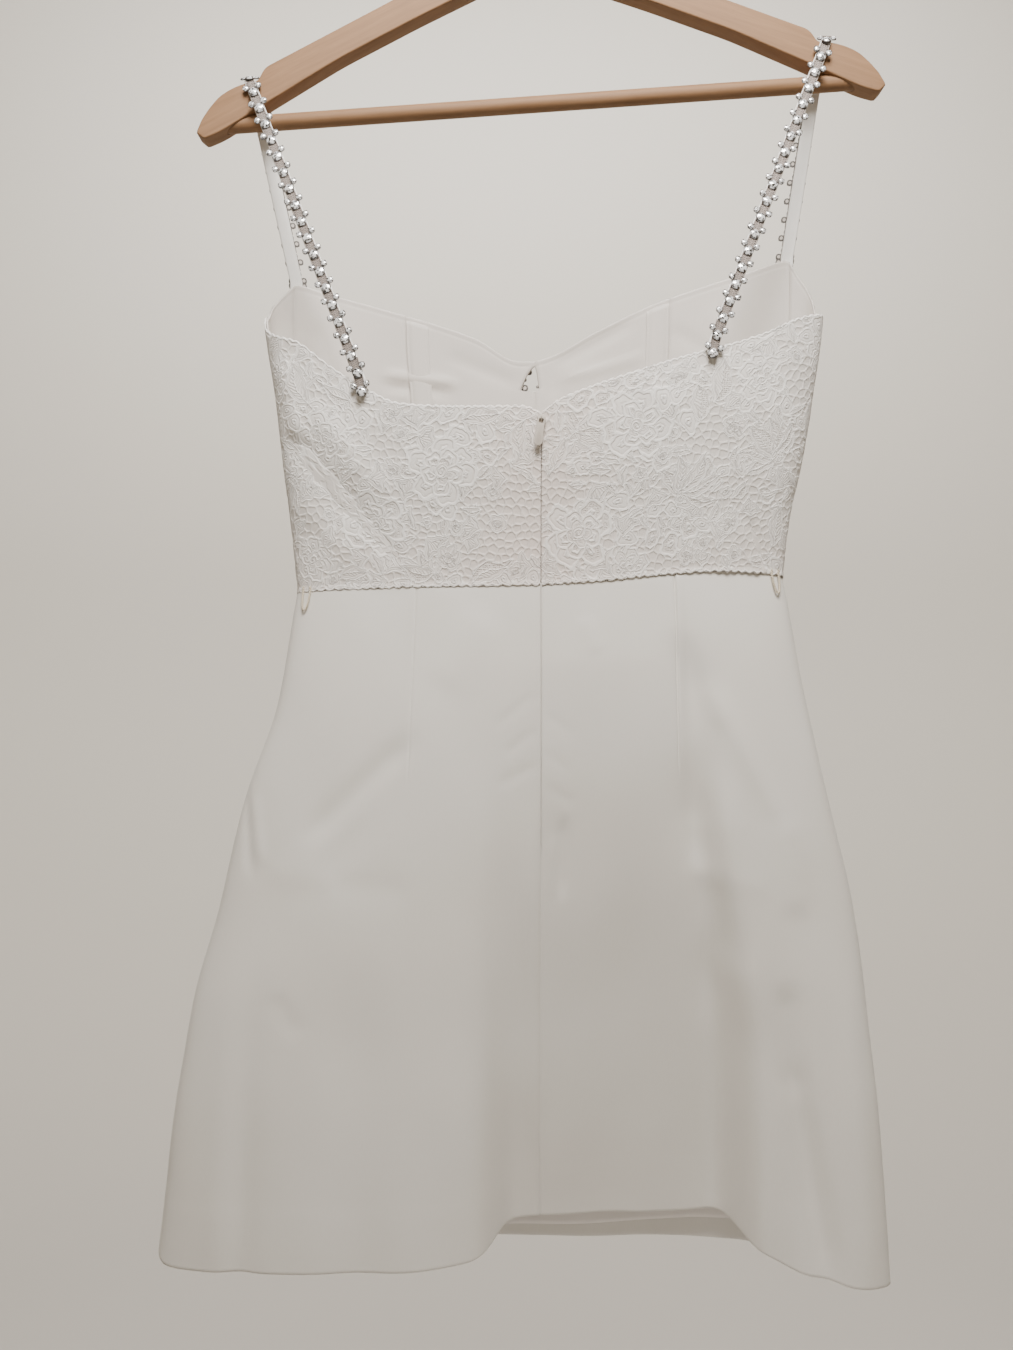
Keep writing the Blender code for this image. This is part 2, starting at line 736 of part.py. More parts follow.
# ------------------------------------------------------------------------- straps and their trim
def on_hanger(across, depth, height):
    """A point of the hanger's own frame, after the hanger has tilted about its hook."""
    cosine = math.cos(HANGER_TILT)
    sine = math.sin(HANGER_TILT)
    return np.array([across * cosine - height * sine, depth, across * sine + height * cosine])


def surface_frame(degrees, below):
    """Point, tangent round the dress and normal of the bodice, some way below its top edge."""
    height = float(edge_height(TOP_EDGE, np.array(degrees))) - below
    point = bodice_point(degrees, height) + np.array([NECK_SHIFT, 0.0, 0.0])
    ahead = bodice_point(degrees + 0.5, height) - bodice_point(degrees - 0.5, height)
    tangent = ahead / np.linalg.norm(ahead)
    normal = np.cross(tangent, np.array([0.0, 0.0, -1.0]))
    return point, tangent, normal


def strap_route(side, lift):
    """Stations of a strap: points that lie lift above its seats, and its width directions."""
    flat = on_hanger(1.0, 0.0, 0.0)
    half = HANGER_THICKNESS / 2
    seat_across, seat_height = STRAP_SEAT
    back_strap = BACK_STRAP_LEFT if side < 0 else BACK_STRAP_RIGHT
    points = []
    widths = []
    for below in (STRAP_OVERLAP, -STRAP_OVERLAP):
        back, tangent, normal = surface_frame(side * back_strap, below)
        points.append(back + normal * (lift + LAYER_GAP))
        widths.append(-tangent)
    for corner, start in ((-half, math.pi), (half, math.pi / 2)):
        for step in range(4):
            angle = start - math.pi / 2 * step / 3
            depth = corner + (lift + SEAM_GAP) * math.cos(angle)
            height = seat_height + (lift + SEAM_GAP) * math.sin(angle)
            points.append(on_hanger(side * seat_across, depth, height))
            widths.append(flat)
    for below in (-STRAP_OVERLAP, STRAP_OVERLAP):
        front, tangent, normal = surface_frame(side * FRONT_STRAP, below)
        points.append(front + normal * (lift + LAYER_GAP))
        widths.append(tangent)
    return np.array(points), np.array(widths)


def along_route(points, widths, spacing):
    """The route with more stations, one every so often, and unit directions at each."""
    lengths = np.linalg.norm(np.diff(points, axis=0), axis=1)
    along = np.concatenate([[0.0], np.cumsum(lengths)])
    count = int(round(along[-1] / spacing))
    regular = np.linspace(0.0, along[-1], count + 1)
    apart = np.min(np.abs(regular[:, None] - along[None, :]), axis=1)
    stations = np.sort(np.concatenate([along, regular[apart > 0.5]]))
    place = np.stack([np.interp(stations, along, points[:, i]) for i in range(3)], axis=1)
    width = np.stack([np.interp(stations, along, widths[:, i]) for i in range(3)], axis=1)
    way = np.gradient(place, stations, axis=0)
    way /= np.linalg.norm(way, axis=1, keepdims=True)
    width -= way * np.sum(width * way, axis=1, keepdims=True)
    width /= np.linalg.norm(width, axis=1, keepdims=True)
    return stations, place, width, np.cross(width, way)


def strap(side, word):
    """One ribbon and the crystal chain on its outer face."""
    points, widths = strap_route(side, RIBBON_THICKNESS / 2)
    _, place, width, out = along_route(points, widths, 2 * CRYSTAL_PITCH)
    rise = RIBBON_THICKNESS / 2
    sections = []
    for centre, across, up in zip(place, width, out):
        forward = soft_step(centre[1] / HANGER_THICKNESS + 0.5)
        half = (BACK_RIBBON_WIDTH + (RIBBON_WIDTH - BACK_RIBBON_WIDTH) * forward) / 2
        corners = ((-half, -rise), (half, -rise), (half, rise), (-half, rise))
        sections.append([centre + across * a + up * b for a, b in corners])
    sweep(f"strap_ribbon_{word}", sections, RIBBON)

    base = RIBBON_THICKNESS + SEAM_GAP
    points, widths = strap_route(side, base)
    stations, place, width, out = along_route(points, widths, CRYSTAL_PITCH / 4)
    sections = []
    for station, centre, across, up in zip(stations, place, width, out):
        swell = math.cos(2 * math.pi * station / CRYSTAL_PITCH)
        reach = 4.1 + 1.3 * swell
        top = 2.3 + 0.3 * swell
        corners = ((-reach, 0.0), (reach, 0.0), (reach, 1.3), (reach * 0.45, top),
                   (-reach * 0.45, top), (-reach, 1.3))
        sections.append([centre + across * a + up * b for a, b in corners])
    sweep(f"strap_crystals_{word}", sections, CRYSTAL)


def keyhole_crystals():
    """The crystal trim along both sides of the keyhole, on the outer face of the lace."""
    apex = TOP_EDGE[0].left - 1.0
    base = TOP_EDGE[0].left - KEYHOLE_DEPTH - 1.0
    route = []
    for share in (-1.0, -0.5, 0.0, 0.5, 1.0):
        height = apex + (base - apex) * abs(share)
        reach = abs(share) ** KEYHOLE_BEND * (KEYHOLE_LEFT + 0.4 if share < 0 else KEYHOLE_RIGHT + 1.0)
        across = FRONT_CENTRE_SHIFT + (-reach if share < 0 else reach)
        depth = float(bodice_point(0.0, height)[1]) + 0.6
        route.append((across + NECK_SHIFT, depth, height))
    route = np.array(route)
    sections = []
    for number, centre in enumerate(route):
        ahead = route[min(number + 1, len(route) - 1)] - route[max(number - 1, 0)]
        ahead /= np.linalg.norm(ahead)
        across = np.cross(ahead, np.array([0.0, 1.0, 0.0]))
        up = np.array([0.0, 1.0, 0.0])
        corners = ((-2.2, 0.0), (2.2, 0.0), (2.2, 1.2), (0.9, 2.2), (-0.9, 2.2), (-2.2, 1.2))
        sections.append([centre + across * a + up * b for a, b in corners])
    sweep("keyhole_crystals", sections, CRYSTAL)


# ------------------------------------------------------------------------------------ belt loops
def belt_loop(side, word):
    """A thread loop that hangs from the waist seam, just behind the side."""
    degrees = side * 109.0
    length = 15.0
    half_width = 2.9
    thread = 1.4
    waist = float(edge_height(WAIST_EDGE, np.array(degrees)))
    points = []
    for step in range(13):
        angle = math.pi * step / 12
        drop = length * math.sin(angle) ** 0.8 - 2.0
        offset = math.degrees(half_width * math.cos(angle) / 60.0)
        height = waist - drop
        seat = bodice_point(degrees + offset, max(height, waist))
        near = bodice_point(degrees + offset + 1.0, waist) - bodice_point(degrees + offset - 1.0, waist)
        normal = np.cross(near / np.linalg.norm(near), np.array([0.0, 0.0, -1.0]))
        out = thread / 2 + 0.1 + 0.2 * max(drop, 0.0)
        point = seat + normal * out
        points.append((point[0] + NECK_SHIFT, point[1], height))
    wire(f"belt_loop_{word}", points, thread, THREAD, 1)


# ---------------------------------------------------------------------------------------- hanger
def hanger():
    """The wooden arms, the trouser bar let into them, and the wire hook."""
    outline = [(corner.across, corner.height) for corner in HANGER_OUTLINE]
    outline += [(-across, height) for across, height in reversed(outline[1:-1])]
    half = HANGER_THICKNESS / 2
    tilt = Matrix.Rotation(-HANGER_TILT, 4, "Y")
    arms = extruded("hanger_arms", outline, -half, half, WOOD)
    edges = arms.modifiers.new("soft edges", "BEVEL")
    edges.width = 0.8 * MM
    edges.segments = 1
    edges.limit_method = "ANGLE"
    edges.angle_limit = math.radians(50)

    clearance = 2 * SEAM_GAP
    reach = BAR_HALF_LENGTH + SEAM_GAP
    socket = cutter_of(round_bar, "bar_guide", (-reach, 0, BAR_HEIGHT), (reach, 0, BAR_HEIGHT),
                       BAR_DIAMETER + clearance, 16, WOOD)
    bar = round_bar("hanger_bar", (-BAR_HALF_LENGTH, 0, BAR_HEIGHT), (BAR_HALF_LENGTH, 0, BAR_HEIGHT),
                    BAR_DIAMETER, 16, WOOD)
    stem_end = HANGER_TOP - 14.0
    stem_hole = cutter_of(round_bar, "stem_guide", (0, 0, stem_end - SEAM_GAP), (0, 0, HANGER_TOP + 5),
                          HOOK_WIRE + clearance, 12, WOOD)
    boolean(arms, socket, "DIFFERENCE")
    boolean(arms, stem_hole, "DIFFERENCE")
    for piece in (arms, bar, socket, stem_hole):
        piece.matrix_world = tilt

    middle = HOOK_RADIUS + HOOK_WIRE / 2
    centre = -HOOK_RADIUS
    points = []
    stem_points = ((0, stem_end), (0, HANGER_TOP + 1), (1.0, HANGER_TOP + 5), (5.5, HANGER_TOP + 11))
    for across, height in stem_points:
        point = on_hanger(across, 0.0, height)
        points.append(tuple(point))
    for degrees in range(-48, 211, 14):
        angle = math.radians(degrees)
        points.append((middle * math.cos(angle), 0.0, centre + middle * math.sin(angle)))
    wire("hanger_hook", points, HOOK_WIRE, STEEL, 2)


for half_side, half_word in ((-1, "left"), (1, "right")):
    strap(half_side, half_word)
    belt_loop(half_side, half_word)
bodice()
skirt()
zip_tape()
zip_slider_and_pull()
keyhole_crystals()
hanger()
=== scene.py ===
"""Looks of the short bridal dress that hangs from a wooden hanger: cloth, lace, stones and wood.

The origin is the inner top of the hanger's hook, +Z is up and the dress's back faces -Y. Lengths
are millimetres until a mesh is made. Places round the dress are degrees from its centre front: 90
is the right side, -90 the left side, 180 the centre back. "Along" is cloth length from the centre
front round the bodice, or from the centre back where a table says so.
"""

from collections import namedtuple
import math

import bpy
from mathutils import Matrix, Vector
import numpy as np


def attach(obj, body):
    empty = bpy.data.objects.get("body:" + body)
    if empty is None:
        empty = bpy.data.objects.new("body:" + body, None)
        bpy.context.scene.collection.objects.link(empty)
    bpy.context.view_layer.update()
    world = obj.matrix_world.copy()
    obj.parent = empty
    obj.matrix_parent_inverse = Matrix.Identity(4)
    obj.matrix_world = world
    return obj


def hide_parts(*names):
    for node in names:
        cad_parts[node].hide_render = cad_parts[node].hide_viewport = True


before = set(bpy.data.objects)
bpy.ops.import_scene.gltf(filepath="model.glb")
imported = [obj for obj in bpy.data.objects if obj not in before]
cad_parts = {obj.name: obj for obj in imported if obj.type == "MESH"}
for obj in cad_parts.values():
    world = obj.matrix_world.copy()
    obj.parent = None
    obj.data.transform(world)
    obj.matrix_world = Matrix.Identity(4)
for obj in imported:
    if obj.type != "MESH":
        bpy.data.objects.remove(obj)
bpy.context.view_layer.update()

MM = 0.001
NECK_SHIFT = 11.0
LACE_THICKNESS = 1.2
SATIN_THICKNESS = 1.2
LINING_THICKNESS = 1.0
LINING_DEPTH = 1.6
SKIRT_LINING_DEPTH = 3.2
CASING_WIDTH = 14.0
CASING_DEPTH = 3.0
SEAM = 0.15
NECK_MOVE = np.array([NECK_SHIFT, 0.0, 0.0])

HANGER_TILT = math.radians(4.0)
HANGER_THICKNESS = 12.6
BAR_DIAMETER = 10.0
BAR_HALF_LENGTH = 208.0
BAR_HEIGHT = -163.0
HOOK_WIRE = 3.8
HOOK_RADIUS = 20.0
HANGER_TOP = -58.0
STRAP_SEAT = (186.5, -139.3)

RIBBON_WIDTH = 8.0
BACK_RIBBON_WIDTH = 6.6
RIBBON_THICKNESS = 1.0
CRYSTAL_PITCH = 12.0
STRAP_OVERLAP = 3.0

KEYHOLE_LEFT = 9.6
KEYHOLE_RIGHT = 2.6
KEYHOLE_BEND = 0.6
KEYHOLE_TOP_JOIN = 3.0
KEYHOLE_DEPTH = 20.0
FRONT_CENTRE_SHIFT = -2.0

ZIP_END = -640.0
ZIP_SLIT = 1.0
ZIP_TAPE_HALF_WIDTH = 10.5
PULL_PIVOT_HEIGHT = -376.5
PULL_LENGTH = 18.0
PULL_WIDTH = 5.0
PULL_LEAN = 8.0

PRINCESS_SEAM = 30.0
LINING_SIDE_SEAM = 67.0
FRONT_STRAP = 65.5
BACK_STRAP = {-1: 139.5, 1: 144.0}

# Heights of the three edges on the dress's left and right, by degrees from the centre front.
Edge = namedtuple("Edge", "degrees left right")
TOP_EDGE = (
    Edge(0, -321, -321),
    Edge(3.5, -321, -317.5),
    Edge(13.5, -305, -300),
    Edge(28, -291.5, -280),
    Edge(48, -279.5, -264.5),
    Edge(65.5, -273.5, -257),
    Edge(71, -279.5, -268),
    Edge(78, -287, -279),
    Edge(84, -293, -289.5),
    Edge(90, -302.5, -303.5),
    Edge(97, -313, -305),
    Edge(109, -321, -307.5),
    Edge(119, -326, -312.5),
    Edge(131, -344, -323.5),
    Edge(142, -360, -332),
    Edge(149, -367.5, -337),
    Edge(162, -369.5, -349),
    Edge(176, -369.5, -365),
    Edge(180, -373, -373),
)
WAIST_EDGE = (
    Edge(0, -476, -476),
    Edge(45, -478.5, -473.5),
    Edge(90, -481, -471),
    Edge(135, -479.5, -468.5),
    Edge(150, -478.5, -470.5),
    Edge(165, -478, -474.5),
    Edge(180, -477.3, -477.3),
)
HEM_EDGE = (
    Edge(0, -913, -913),
    Edge(38, -911, -912),
    Edge(65, -903, -908),
    Edge(77, -892, -904),
    Edge(84, -888, -902),
    Edge(90, -884, -900),
    Edge(97, -888.5, -900),
    Edge(104, -891.5, -900),
    Edge(116, -892, -900),
    Edge(132, -892, -896),
    Edge(140, -892, -889),
    Edge(147, -892, -885),
    Edge(165, -892, -888),
    Edge(180, -890, -890),
)
# Half widths and depths: of the bodice by height, of the skirt by level, 0 at its waist, 1 at its hem.
BodiceLevel = namedtuple("BodiceLevel", "height left right front back")
BODICE_LEVELS = (
    BodiceLevel(-485, 157.0, 156.5, 20, -25),
    BodiceLevel(-435, 162.0, 162.0, 25, -29),
    BodiceLevel(-400, 166.5, 169.5, 29.5, -33),
    BodiceLevel(-355, 171.5, 177.0, 33, -35.5),
    BodiceLevel(-300, 179.0, 183.5, 34.5, -35),
    BodiceLevel(-250, 178.0, 184.0, 34, -34),
)
SkirtLevel = namedtuple("SkirtLevel", "level left right side_left side_right back_left back_right front")
SKIRT_LEVELS = (
    SkirtLevel(0.00, 157.3, 156.8, 0, 0, -25, -25, 20),
    SkirtLevel(0.18, 168.4, 169.5, -8, -8, -31, -31, 21),
    SkirtLevel(0.33, 188.3, 182.1, -12, -13, -36, -37, 22),
    SkirtLevel(0.49, 202.4, 196.5, -17, -19, -41, -43, 23),
    SkirtLevel(0.64, 217.4, 202.5, -22, -27, -46, -49, 24),
    SkirtLevel(0.79, 226.2, 206.4, -27, -36, -52, -56, 24.5),
    SkirtLevel(1.00, 234.5, 209.7, -32, -45, -57, -63, 25),
)
TOP_SQUARENESS = 3.0
HEM_BACK_SQUARENESS = 5.0
HOLLOW_START = 0.12
HOLLOW_DEPTH = 65.0
HOLLOW_GROWTH = 1.35
# The two walls of the hollow in the skirt's back: where they stand, how soft and how large a share.
HollowWall = namedtuple("HollowWall", "side place_top place_hem softness share")
HOLLOW_WALLS = (
    HollowWall("left", -16, -29, 9, 0.75),
    HollowWall("left", -45, -60, 25, 0.25),
    HollowWall("right", 84, 127, 6, 0.62),
    HollowWall("right", 100, 156, 19, 0.38),
)
# Large folds: levels and places of their two ends, width, and depth inwards.
Fold = namedtuple("Fold", "face start end place_start place_end width depth")
FOLDS = (
    Fold("back", 0.27, 0.50, -87, -150, 13, 3.5),
    Fold("back", 0.50, 1.20, -108, -112, 20, 3.0),
    Fold("back", 0.55, 1.20, -178, -182, 10, 2.5),
    Fold("back", 0.60, 1.20, 145, 171, 9, 6.0),
    Fold("back", 0.35, 1.20, 60, 44, 18, 2.5),
    Fold("front", 0.30, 1.20, -112, -128, 25, 8.0),
    Fold("front", 0.45, 1.20, -62, -70, 20, -3.0),
    Fold("front", 0.40, 1.20, 26, 32, 26, 2.0),
    Fold("front", 0.35, 1.20, 140, 158, 20, 7.0),
)
# One half of the hanger's outline, in the hanger's own frame.
Corner = namedtuple("Corner", "across height")
HANGER_OUTLINE = (
    Corner(0, HANGER_TOP),
    Corner(20, -61),
    Corner(177, -130.3),
    Corner(181.5, -139),
    Corner(190, -139.3),
    Corner(198.6, -142),
    Corner(207.4, -146.8),
    Corner(214.6, -154.3),
    Corner(219.7, -161.1),
    Corner(223.7, -169.1),
    Corner(219, -173.5),
    Corner(208.6, -170),
    Corner(192, -161.3),
    Corner(173.4, -151.4),
    Corner(127, -127.3),
    Corner(75, -104.5),
    Corner(20, -82),
    Corner(0, -80),
)

# Darts of the skirt's back. Creases by face: a line on the cloth, its width and its depth inwards.
Dart = namedtuple("Dart", "side waist tip")
DARTS = (Dart(-1, 78.3, 83.2), Dart(1, 84.1, 86.5))
DART_END = 0.315
Crease = namedtuple("Crease", "x1 z1 x2 z2 width depth")
CREASES = {
    "back": (
        (-84, -578, -143, -634, 8, 1.8),
        (-167, -656, -128, -662, 9, -0.5),
        (-128, -664, -84, -668, 9, 0.5),
        (-190, -715, -196, -890, 10, -1.2),
        (-163, -733, -149, -753, 6, 0.7),
        (-186, -608, -181, -656, 2.2, 2.4),
        (-180, -612, -174, -650, 3.2, -1.35),
        (-8, -636, -2, -860, 4.5, -1.95),
        (14, -628, 13, -672, 4, 1.4),
        (7, -640, 8, -672, 3, -0.7),
        (-5, -548, -27, -566, 3.2, 0.35),
        (-4, -570, -22, -584, 3.0, 0.4),
        (-4, -592, -26, -603, 3.4, 0.4),
        (4, -560, 20, -572, 3.0, 0.3),
        (4, -584, 17, -595, 2.8, 0.35),
        (4, -606, 21, -615, 3.2, 0.35),
        (84, -514, 108, -574, 9, 1.2),
        (106, -574, 101, -648, 9, 1.65),
        (101, -640, 118, -712, 9, 1.5),
        (108, -548, 151, -628, 8, -1.65),
        (151, -628, 157, -680, 9, -1.5),
        (96, -659, 138, -666, 8, -0.45),
        (151, -730, 156, -790, 8, 2.4),
        (156, -785, 176, -896, 8, 2.7),
        (188, -730, 196, -905, 8, -2.1),
        (27, -500, 34, -520, 6, -0.52),
        (-35, -500, -60, -540, 14, -0.75),
        (-27, -640, -23, -885, 8, 1.8),
        (93, -505, 98, -640, 6, 1.2),
        (94, -525, 101, -640, 13, 2.6),
        (93, -600, 108, -740, 11, 3.0),
        (106, -720, 114, -900, 11, 3.6),
        (112, -610, 127, -740, 11, -2.4),
        (125, -720, 135, -900, 11, -3.2),
    ),
    "front": (
        (-150, -560, -178, -700, 12, 2.25),
        (-96, -600, -88, -780, 14, -2.4),
        (62, -560, 84, -760, 15, 2.1),
        (12, -640, 4, -860, 12, -1.8),
        (150, -600, 176, -790, 11, -2.25),
        (-40, -700, -30, -900, 13, 1.95),
        (108, -740, 120, -905, 12, 2.4),
    ),
    "bodice back": (
        (-163, -338, -152, -386, 7, 1.8),
        (-158, -386, -112, -438, 6.5, -2.0),
        (-112, -438, -90, -463, 6, -1.3),
        (-141, -370, -98, -424, 9, 1.9),
        (-152, -424, -120, -463, 8, 1.2),
        (133, -440, 146, -474, 2.6, -1.3),
        (126, -440, 138, -476, 4, 0.9),
        (110, -440, 118, -474, 6, 0.7),
        (60, -352, 84, -372, 8, 0.9),
    ),
    "bodice front": (
        (-120, -300, -96, -380, 10, 1.2),
        (104, -290, 84, -370, 10, 1.2),
        (-60, -400, -52, -460, 9, 0.8),
    ),
    "lining": (
        (-103, -331, -58, -336, 3.0, 1.9),
        (-104, -338, -62, -343, 3.2, -0.9),
        (-98, -345, -70, -347, 3.0, 0.6),
        (-150, -300, -132, -352, 4.0, -1.0),
        (-60, -318, -16, -336, 5.0, -0.7),
        (14, -322, 62, -296, 4.0, -0.9),
        (20, -332, 70, -318, 3.2, 0.9),
        (92, -300, 128, -322, 5.0, -0.8),
        (120, -290, 142, -330, 4.0, 0.8),
        (-30, -400, -70, -440, 8.0, -0.8),
        (9.5, -344, 15, -384, 5.0, 0.8),
        (40, -400, 82, -436, 8.0, -0.8),
    ),
}

# Lace motifs by kind: place from the centre back (or centre front), height, size, turn in degrees.
Motif = namedtuple("Motif", "kind along height size turn")
LACE_BACK_LEFT = {
    "ground": (
        (14, -442, 24, 0),
        (92, -398, 13, 0),
        (40, -466, 12, 0),
        (150, -436, 12, 0),
    ),
    "rose": (
        (62, -409, 21, 20),
        (108, -441, 20, 75),
        (135, -388, 17, 140),
        (152, -462, 14, 30),
        (166, -344, 13, 300),
    ),
    "spray": (
        (160, -411, 30, -28),
    ),
    "leaf": (
        (150, -352, 30, 78),
        (162, -326, 26, 115),
        (126, -360, 22, 35),
        (36, -374, 26, 172),
        (14, -388, 24, 96),
        (34, -470, 28, 158),
        (82, -471, 24, 12),
        (124, -470, 22, 170),
    ),
    "blossom": (
        (94, -407, 7, 10),
        (60, -461, 9, 40),
        (92, -373, 8, 25),
        (28, -440, 6.5, 60),
        (86, -386, 5.5, 0),
        (176, -436, 7, 45),
        (178, -378, 7, 5),
        (16, -470, 6, 15),
    ),
}
LACE_BACK_RIGHT = {
    "ground": (
        (168, -345, 20, 0),
        (108, -384, 16, 0),
        (146, -448, 20, 0),
        (10, -425, 14, 0),
        (86, -468, 12, 0),
    ),
    "rose": (
        (58, -380, 21, 65),
        (25, -447, 22, 15),
        (132, -350, 15, 110),
        (60, -468, 13, 200),
        (172, -330, 12, 60),
    ),
    "spray": (
        (90, -425, 32, 62),
        (150, -398, 32, 140),
    ),
    "leaf": (
        (108, -352, 30, 84),
        (96, -366, 26, 100),
        (30, -388, 24, 150),
        (12, -398, 22, 70),
        (160, -440, 28, 88),
        (172, -372, 26, 95),
        (150, -462, 20, 20),
    ),
    "blossom": (
        (119, -380, 8.5, 12),
        (124, -439, 8, 50),
        (98, -460, 7, 33),
        (130, -458, 6, 20),
        (76, -398, 6, 0),
        (82, -350, 7, 45),
        (152, -334, 6, 30),
    ),
}
LACE_FRONT = {
    "ground": (
        (60, -410, 18, 0),
        (124, -320, 16, 0),
        (140, -400, 16, 0),
        (16, -350, 14, 0),
        (100, -450, 14, 0),
    ),
    "rose": (
        (40, -360, 22, 30),
        (96, -405, 21, 95),
        (88, -312, 20, 200),
        (24, -440, 18, 10),
        (150, -350, 19, 150),
        (152, -442, 17, 60),
        (192, -400, 14, 0),
    ),
    "spray": (
        (60, -440, 30, 20),
        (120, -345, 32, 110),
        (180, -372, 28, 80),
        (30, -322, 26, 60),
    ),
    "leaf": (
        (120, -292, 28, 80),
        (150, -290, 28, 60),
        (60, -296, 24, 140),
        (14, -392, 26, 96),
        (70, -462, 26, 170),
        (118, -466, 26, 8),
        (186, -452, 24, 100),
    ),
    "blossom": (
        (66, -380, 8, 10),
        (124, -434, 8, 40),
        (62, -330, 7, 20),
        (124, -378, 7, 0),
        (176, -330, 7, 35),
        (12, -466, 7, 15),
        (192, -350, 6, 50),
    ),
}


# ------------------------------------------------------------------ the garment's own surfaces
def field(rows, name):
    """One named column of a table, as an array."""
    return np.array([getattr(row, name) for row in rows], float)


def between(where, places, values):
    """A smooth curve through a table's rows that never overshoots them."""
    steps = np.diff(places)
    slopes = np.diff(values) / steps
    tangents = np.zeros(len(values))
    product = slopes[:-1] * slopes[1:]
    total = slopes[:-1] + slopes[1:]
    turning = product <= 0
    tangents[1:-1] = np.where(turning, 0.0, 2 * product / np.where(turning, 1.0, total))
    tangents[0] = slopes[0]
    tangents[-1] = slopes[-1]
    where = np.clip(where, places[0], places[-1])
    index = np.clip(np.searchsorted(places, where) - 1, 0, len(steps) - 1)
    part = (where - places[index]) / steps[index]
    rise = values[index + 1] - values[index]
    ease = part * part * (3 - 2 * part)
    start = part * (1 - part) ** 2 * steps[index] * tangents[index]
    finish = part * part * (part - 1) * steps[index] * tangents[index + 1]
    return values[index] + rise * ease + start + finish


def at_row(where, rows):
    """A table's columns at places of its first one, smooth between the rows."""
    first, *others = rows[0]._fields
    columns = [between(where, field(rows, first), field(rows, name)) for name in others]
    return rows[0]._make([where] + columns)


def edge_height(edge, degrees):
    """Height of an edge at some place round the dress."""
    row = at_row(np.abs(degrees), edge)
    return np.where(degrees < 0, row.left, row.right)


def soft_step(value):
    """Rises smoothly from 0 to 1 as the value goes from 0 to 1."""
    value = np.clip(value, 0.0, 1.0)
    return value * value * (3 - 2 * value)


def lens(degrees, squareness):
    """Share of the full depth at some place round a flattened ring."""
    sine = np.abs(np.sin(np.radians(degrees)))
    return np.maximum(1 - sine ** squareness, 0.0) ** (1 / squareness)


def bodice_point(degrees, height):
    """Outer surface of the bodice."""
    degrees, height = np.broadcast_arrays(np.asarray(degrees, float), np.asarray(height, float))
    row = at_row(height, BODICE_LEVELS)
    facing = np.abs(degrees) <= 90
    across = np.where(degrees < 0, row.left, row.right) * np.sin(np.radians(degrees))
    centre = np.where(facing, np.cos(np.radians(degrees)) ** 2, 0.0)
    foot = BODICE_LEVELS[0].height
    rise = soft_step((height - foot) / (TOP_EDGE[0].left - foot))
    across = across + FRONT_CENTRE_SHIFT * centre * rise
    depth = np.where(facing, row.front, row.back) * lens(degrees, TOP_SQUARENESS)
    return np.stack([across, depth, height], axis=-1)


def hollow(across, level):
    """How far the middle of the skirt's back falls in."""
    ease = 1 - level
    left = 0.0
    right = 0.0
    for wall in HOLLOW_WALLS:
        place = wall.place_top + (wall.place_hem - wall.place_top) * soft_step(level / 0.75)
        softness = wall.softness * (1 + 2.2 * ease)
        rise = 0.5 + 0.5 * np.tanh((across - place) / softness)
        if wall.side == "left":
            left = left + wall.share * rise
        else:
            right = right + wall.share * rise
    grown = np.maximum(level - HOLLOW_START, 0.0) / (1 - HOLLOW_START)
    return HOLLOW_DEPTH * grown ** HOLLOW_GROWTH * (left - right)


def folds(face, across, level):
    """How far the large folds of one face go in."""
    total = 0.0
    for fold in FOLDS:
        if fold.face != face:
            continue
        run = np.clip((level - fold.start) / (min(fold.end, 1.0) - fold.start), 0.0, 1.0)
        place = fold.place_start + (fold.place_end - fold.place_start) * run
        swell = soft_step((level - fold.start) / 0.3) * soft_step((fold.end - level) / 0.15)
        total = total + fold.depth * swell * np.exp(-((across - place) / fold.width) ** 2)
    return total


def creases(face, across, height):
    """How far the small creases of one face go in."""
    total = np.zeros(np.shape(across))
    for crease in map(Crease._make, CREASES[face]):
        way = np.array([crease.x2 - crease.x1, crease.z2 - crease.z1], float)
        length = np.linalg.norm(way)
        way /= length
        over = across - crease.x1
        down = height - crease.z1
        run = (over * way[0] + down * way[1]) / length
        aside = over * way[1] - down * way[0]
        fade = soft_step(run / 0.35 + 0.5) * soft_step((1 - run) / 0.35 + 0.5)
        total = total + crease.depth * fade * np.exp(-(aside / crease.width) ** 2)
    return total


def half_width(level, side):
    """The skirt's half width on one side."""
    row = at_row(level, SKIRT_LEVELS)
    return row.left if side < 0 else row.right


def skirt_point(degrees, level, detail=0.0):
    """Outer surface of the skirt; the level is 0 at the waist and 1 at the hem."""
    degrees, level = np.broadcast_arrays(np.asarray(degrees, float), np.asarray(level, float))
    row = at_row(level, SKIRT_LEVELS)
    sine = np.sin(np.radians(degrees))
    share = (1 + sine) / 2
    across = np.where(degrees < 0, row.left, row.right) * sine
    side = row.side_left * (1 - share) + row.side_right * share
    back = row.back_left * (1 - share) + row.back_right * share
    back_square = TOP_SQUARENESS + (HEM_BACK_SQUARENESS - TOP_SQUARENESS) * level
    facing = np.abs(degrees) <= 90
    front_lens = lens(degrees, TOP_SQUARENESS)
    back_lens = lens(degrees, back_square)
    waist = edge_height(WAIST_EDGE, degrees)
    height = waist + (edge_height(HEM_EDGE, degrees) - waist) * level
    front_in = folds("front", across, level) + detail * creases("front", across, height)
    back_in = hollow(across, level) + folds("back", across, level)
    back_in = back_in + detail * creases("back", across, height)
    front_depth = side + (row.front - side - front_in) * front_lens
    back_depth = side + (back - side + back_in) * back_lens
    depth = np.where(facing, front_depth, back_depth)
    return np.stack([across, depth, height], axis=-1)


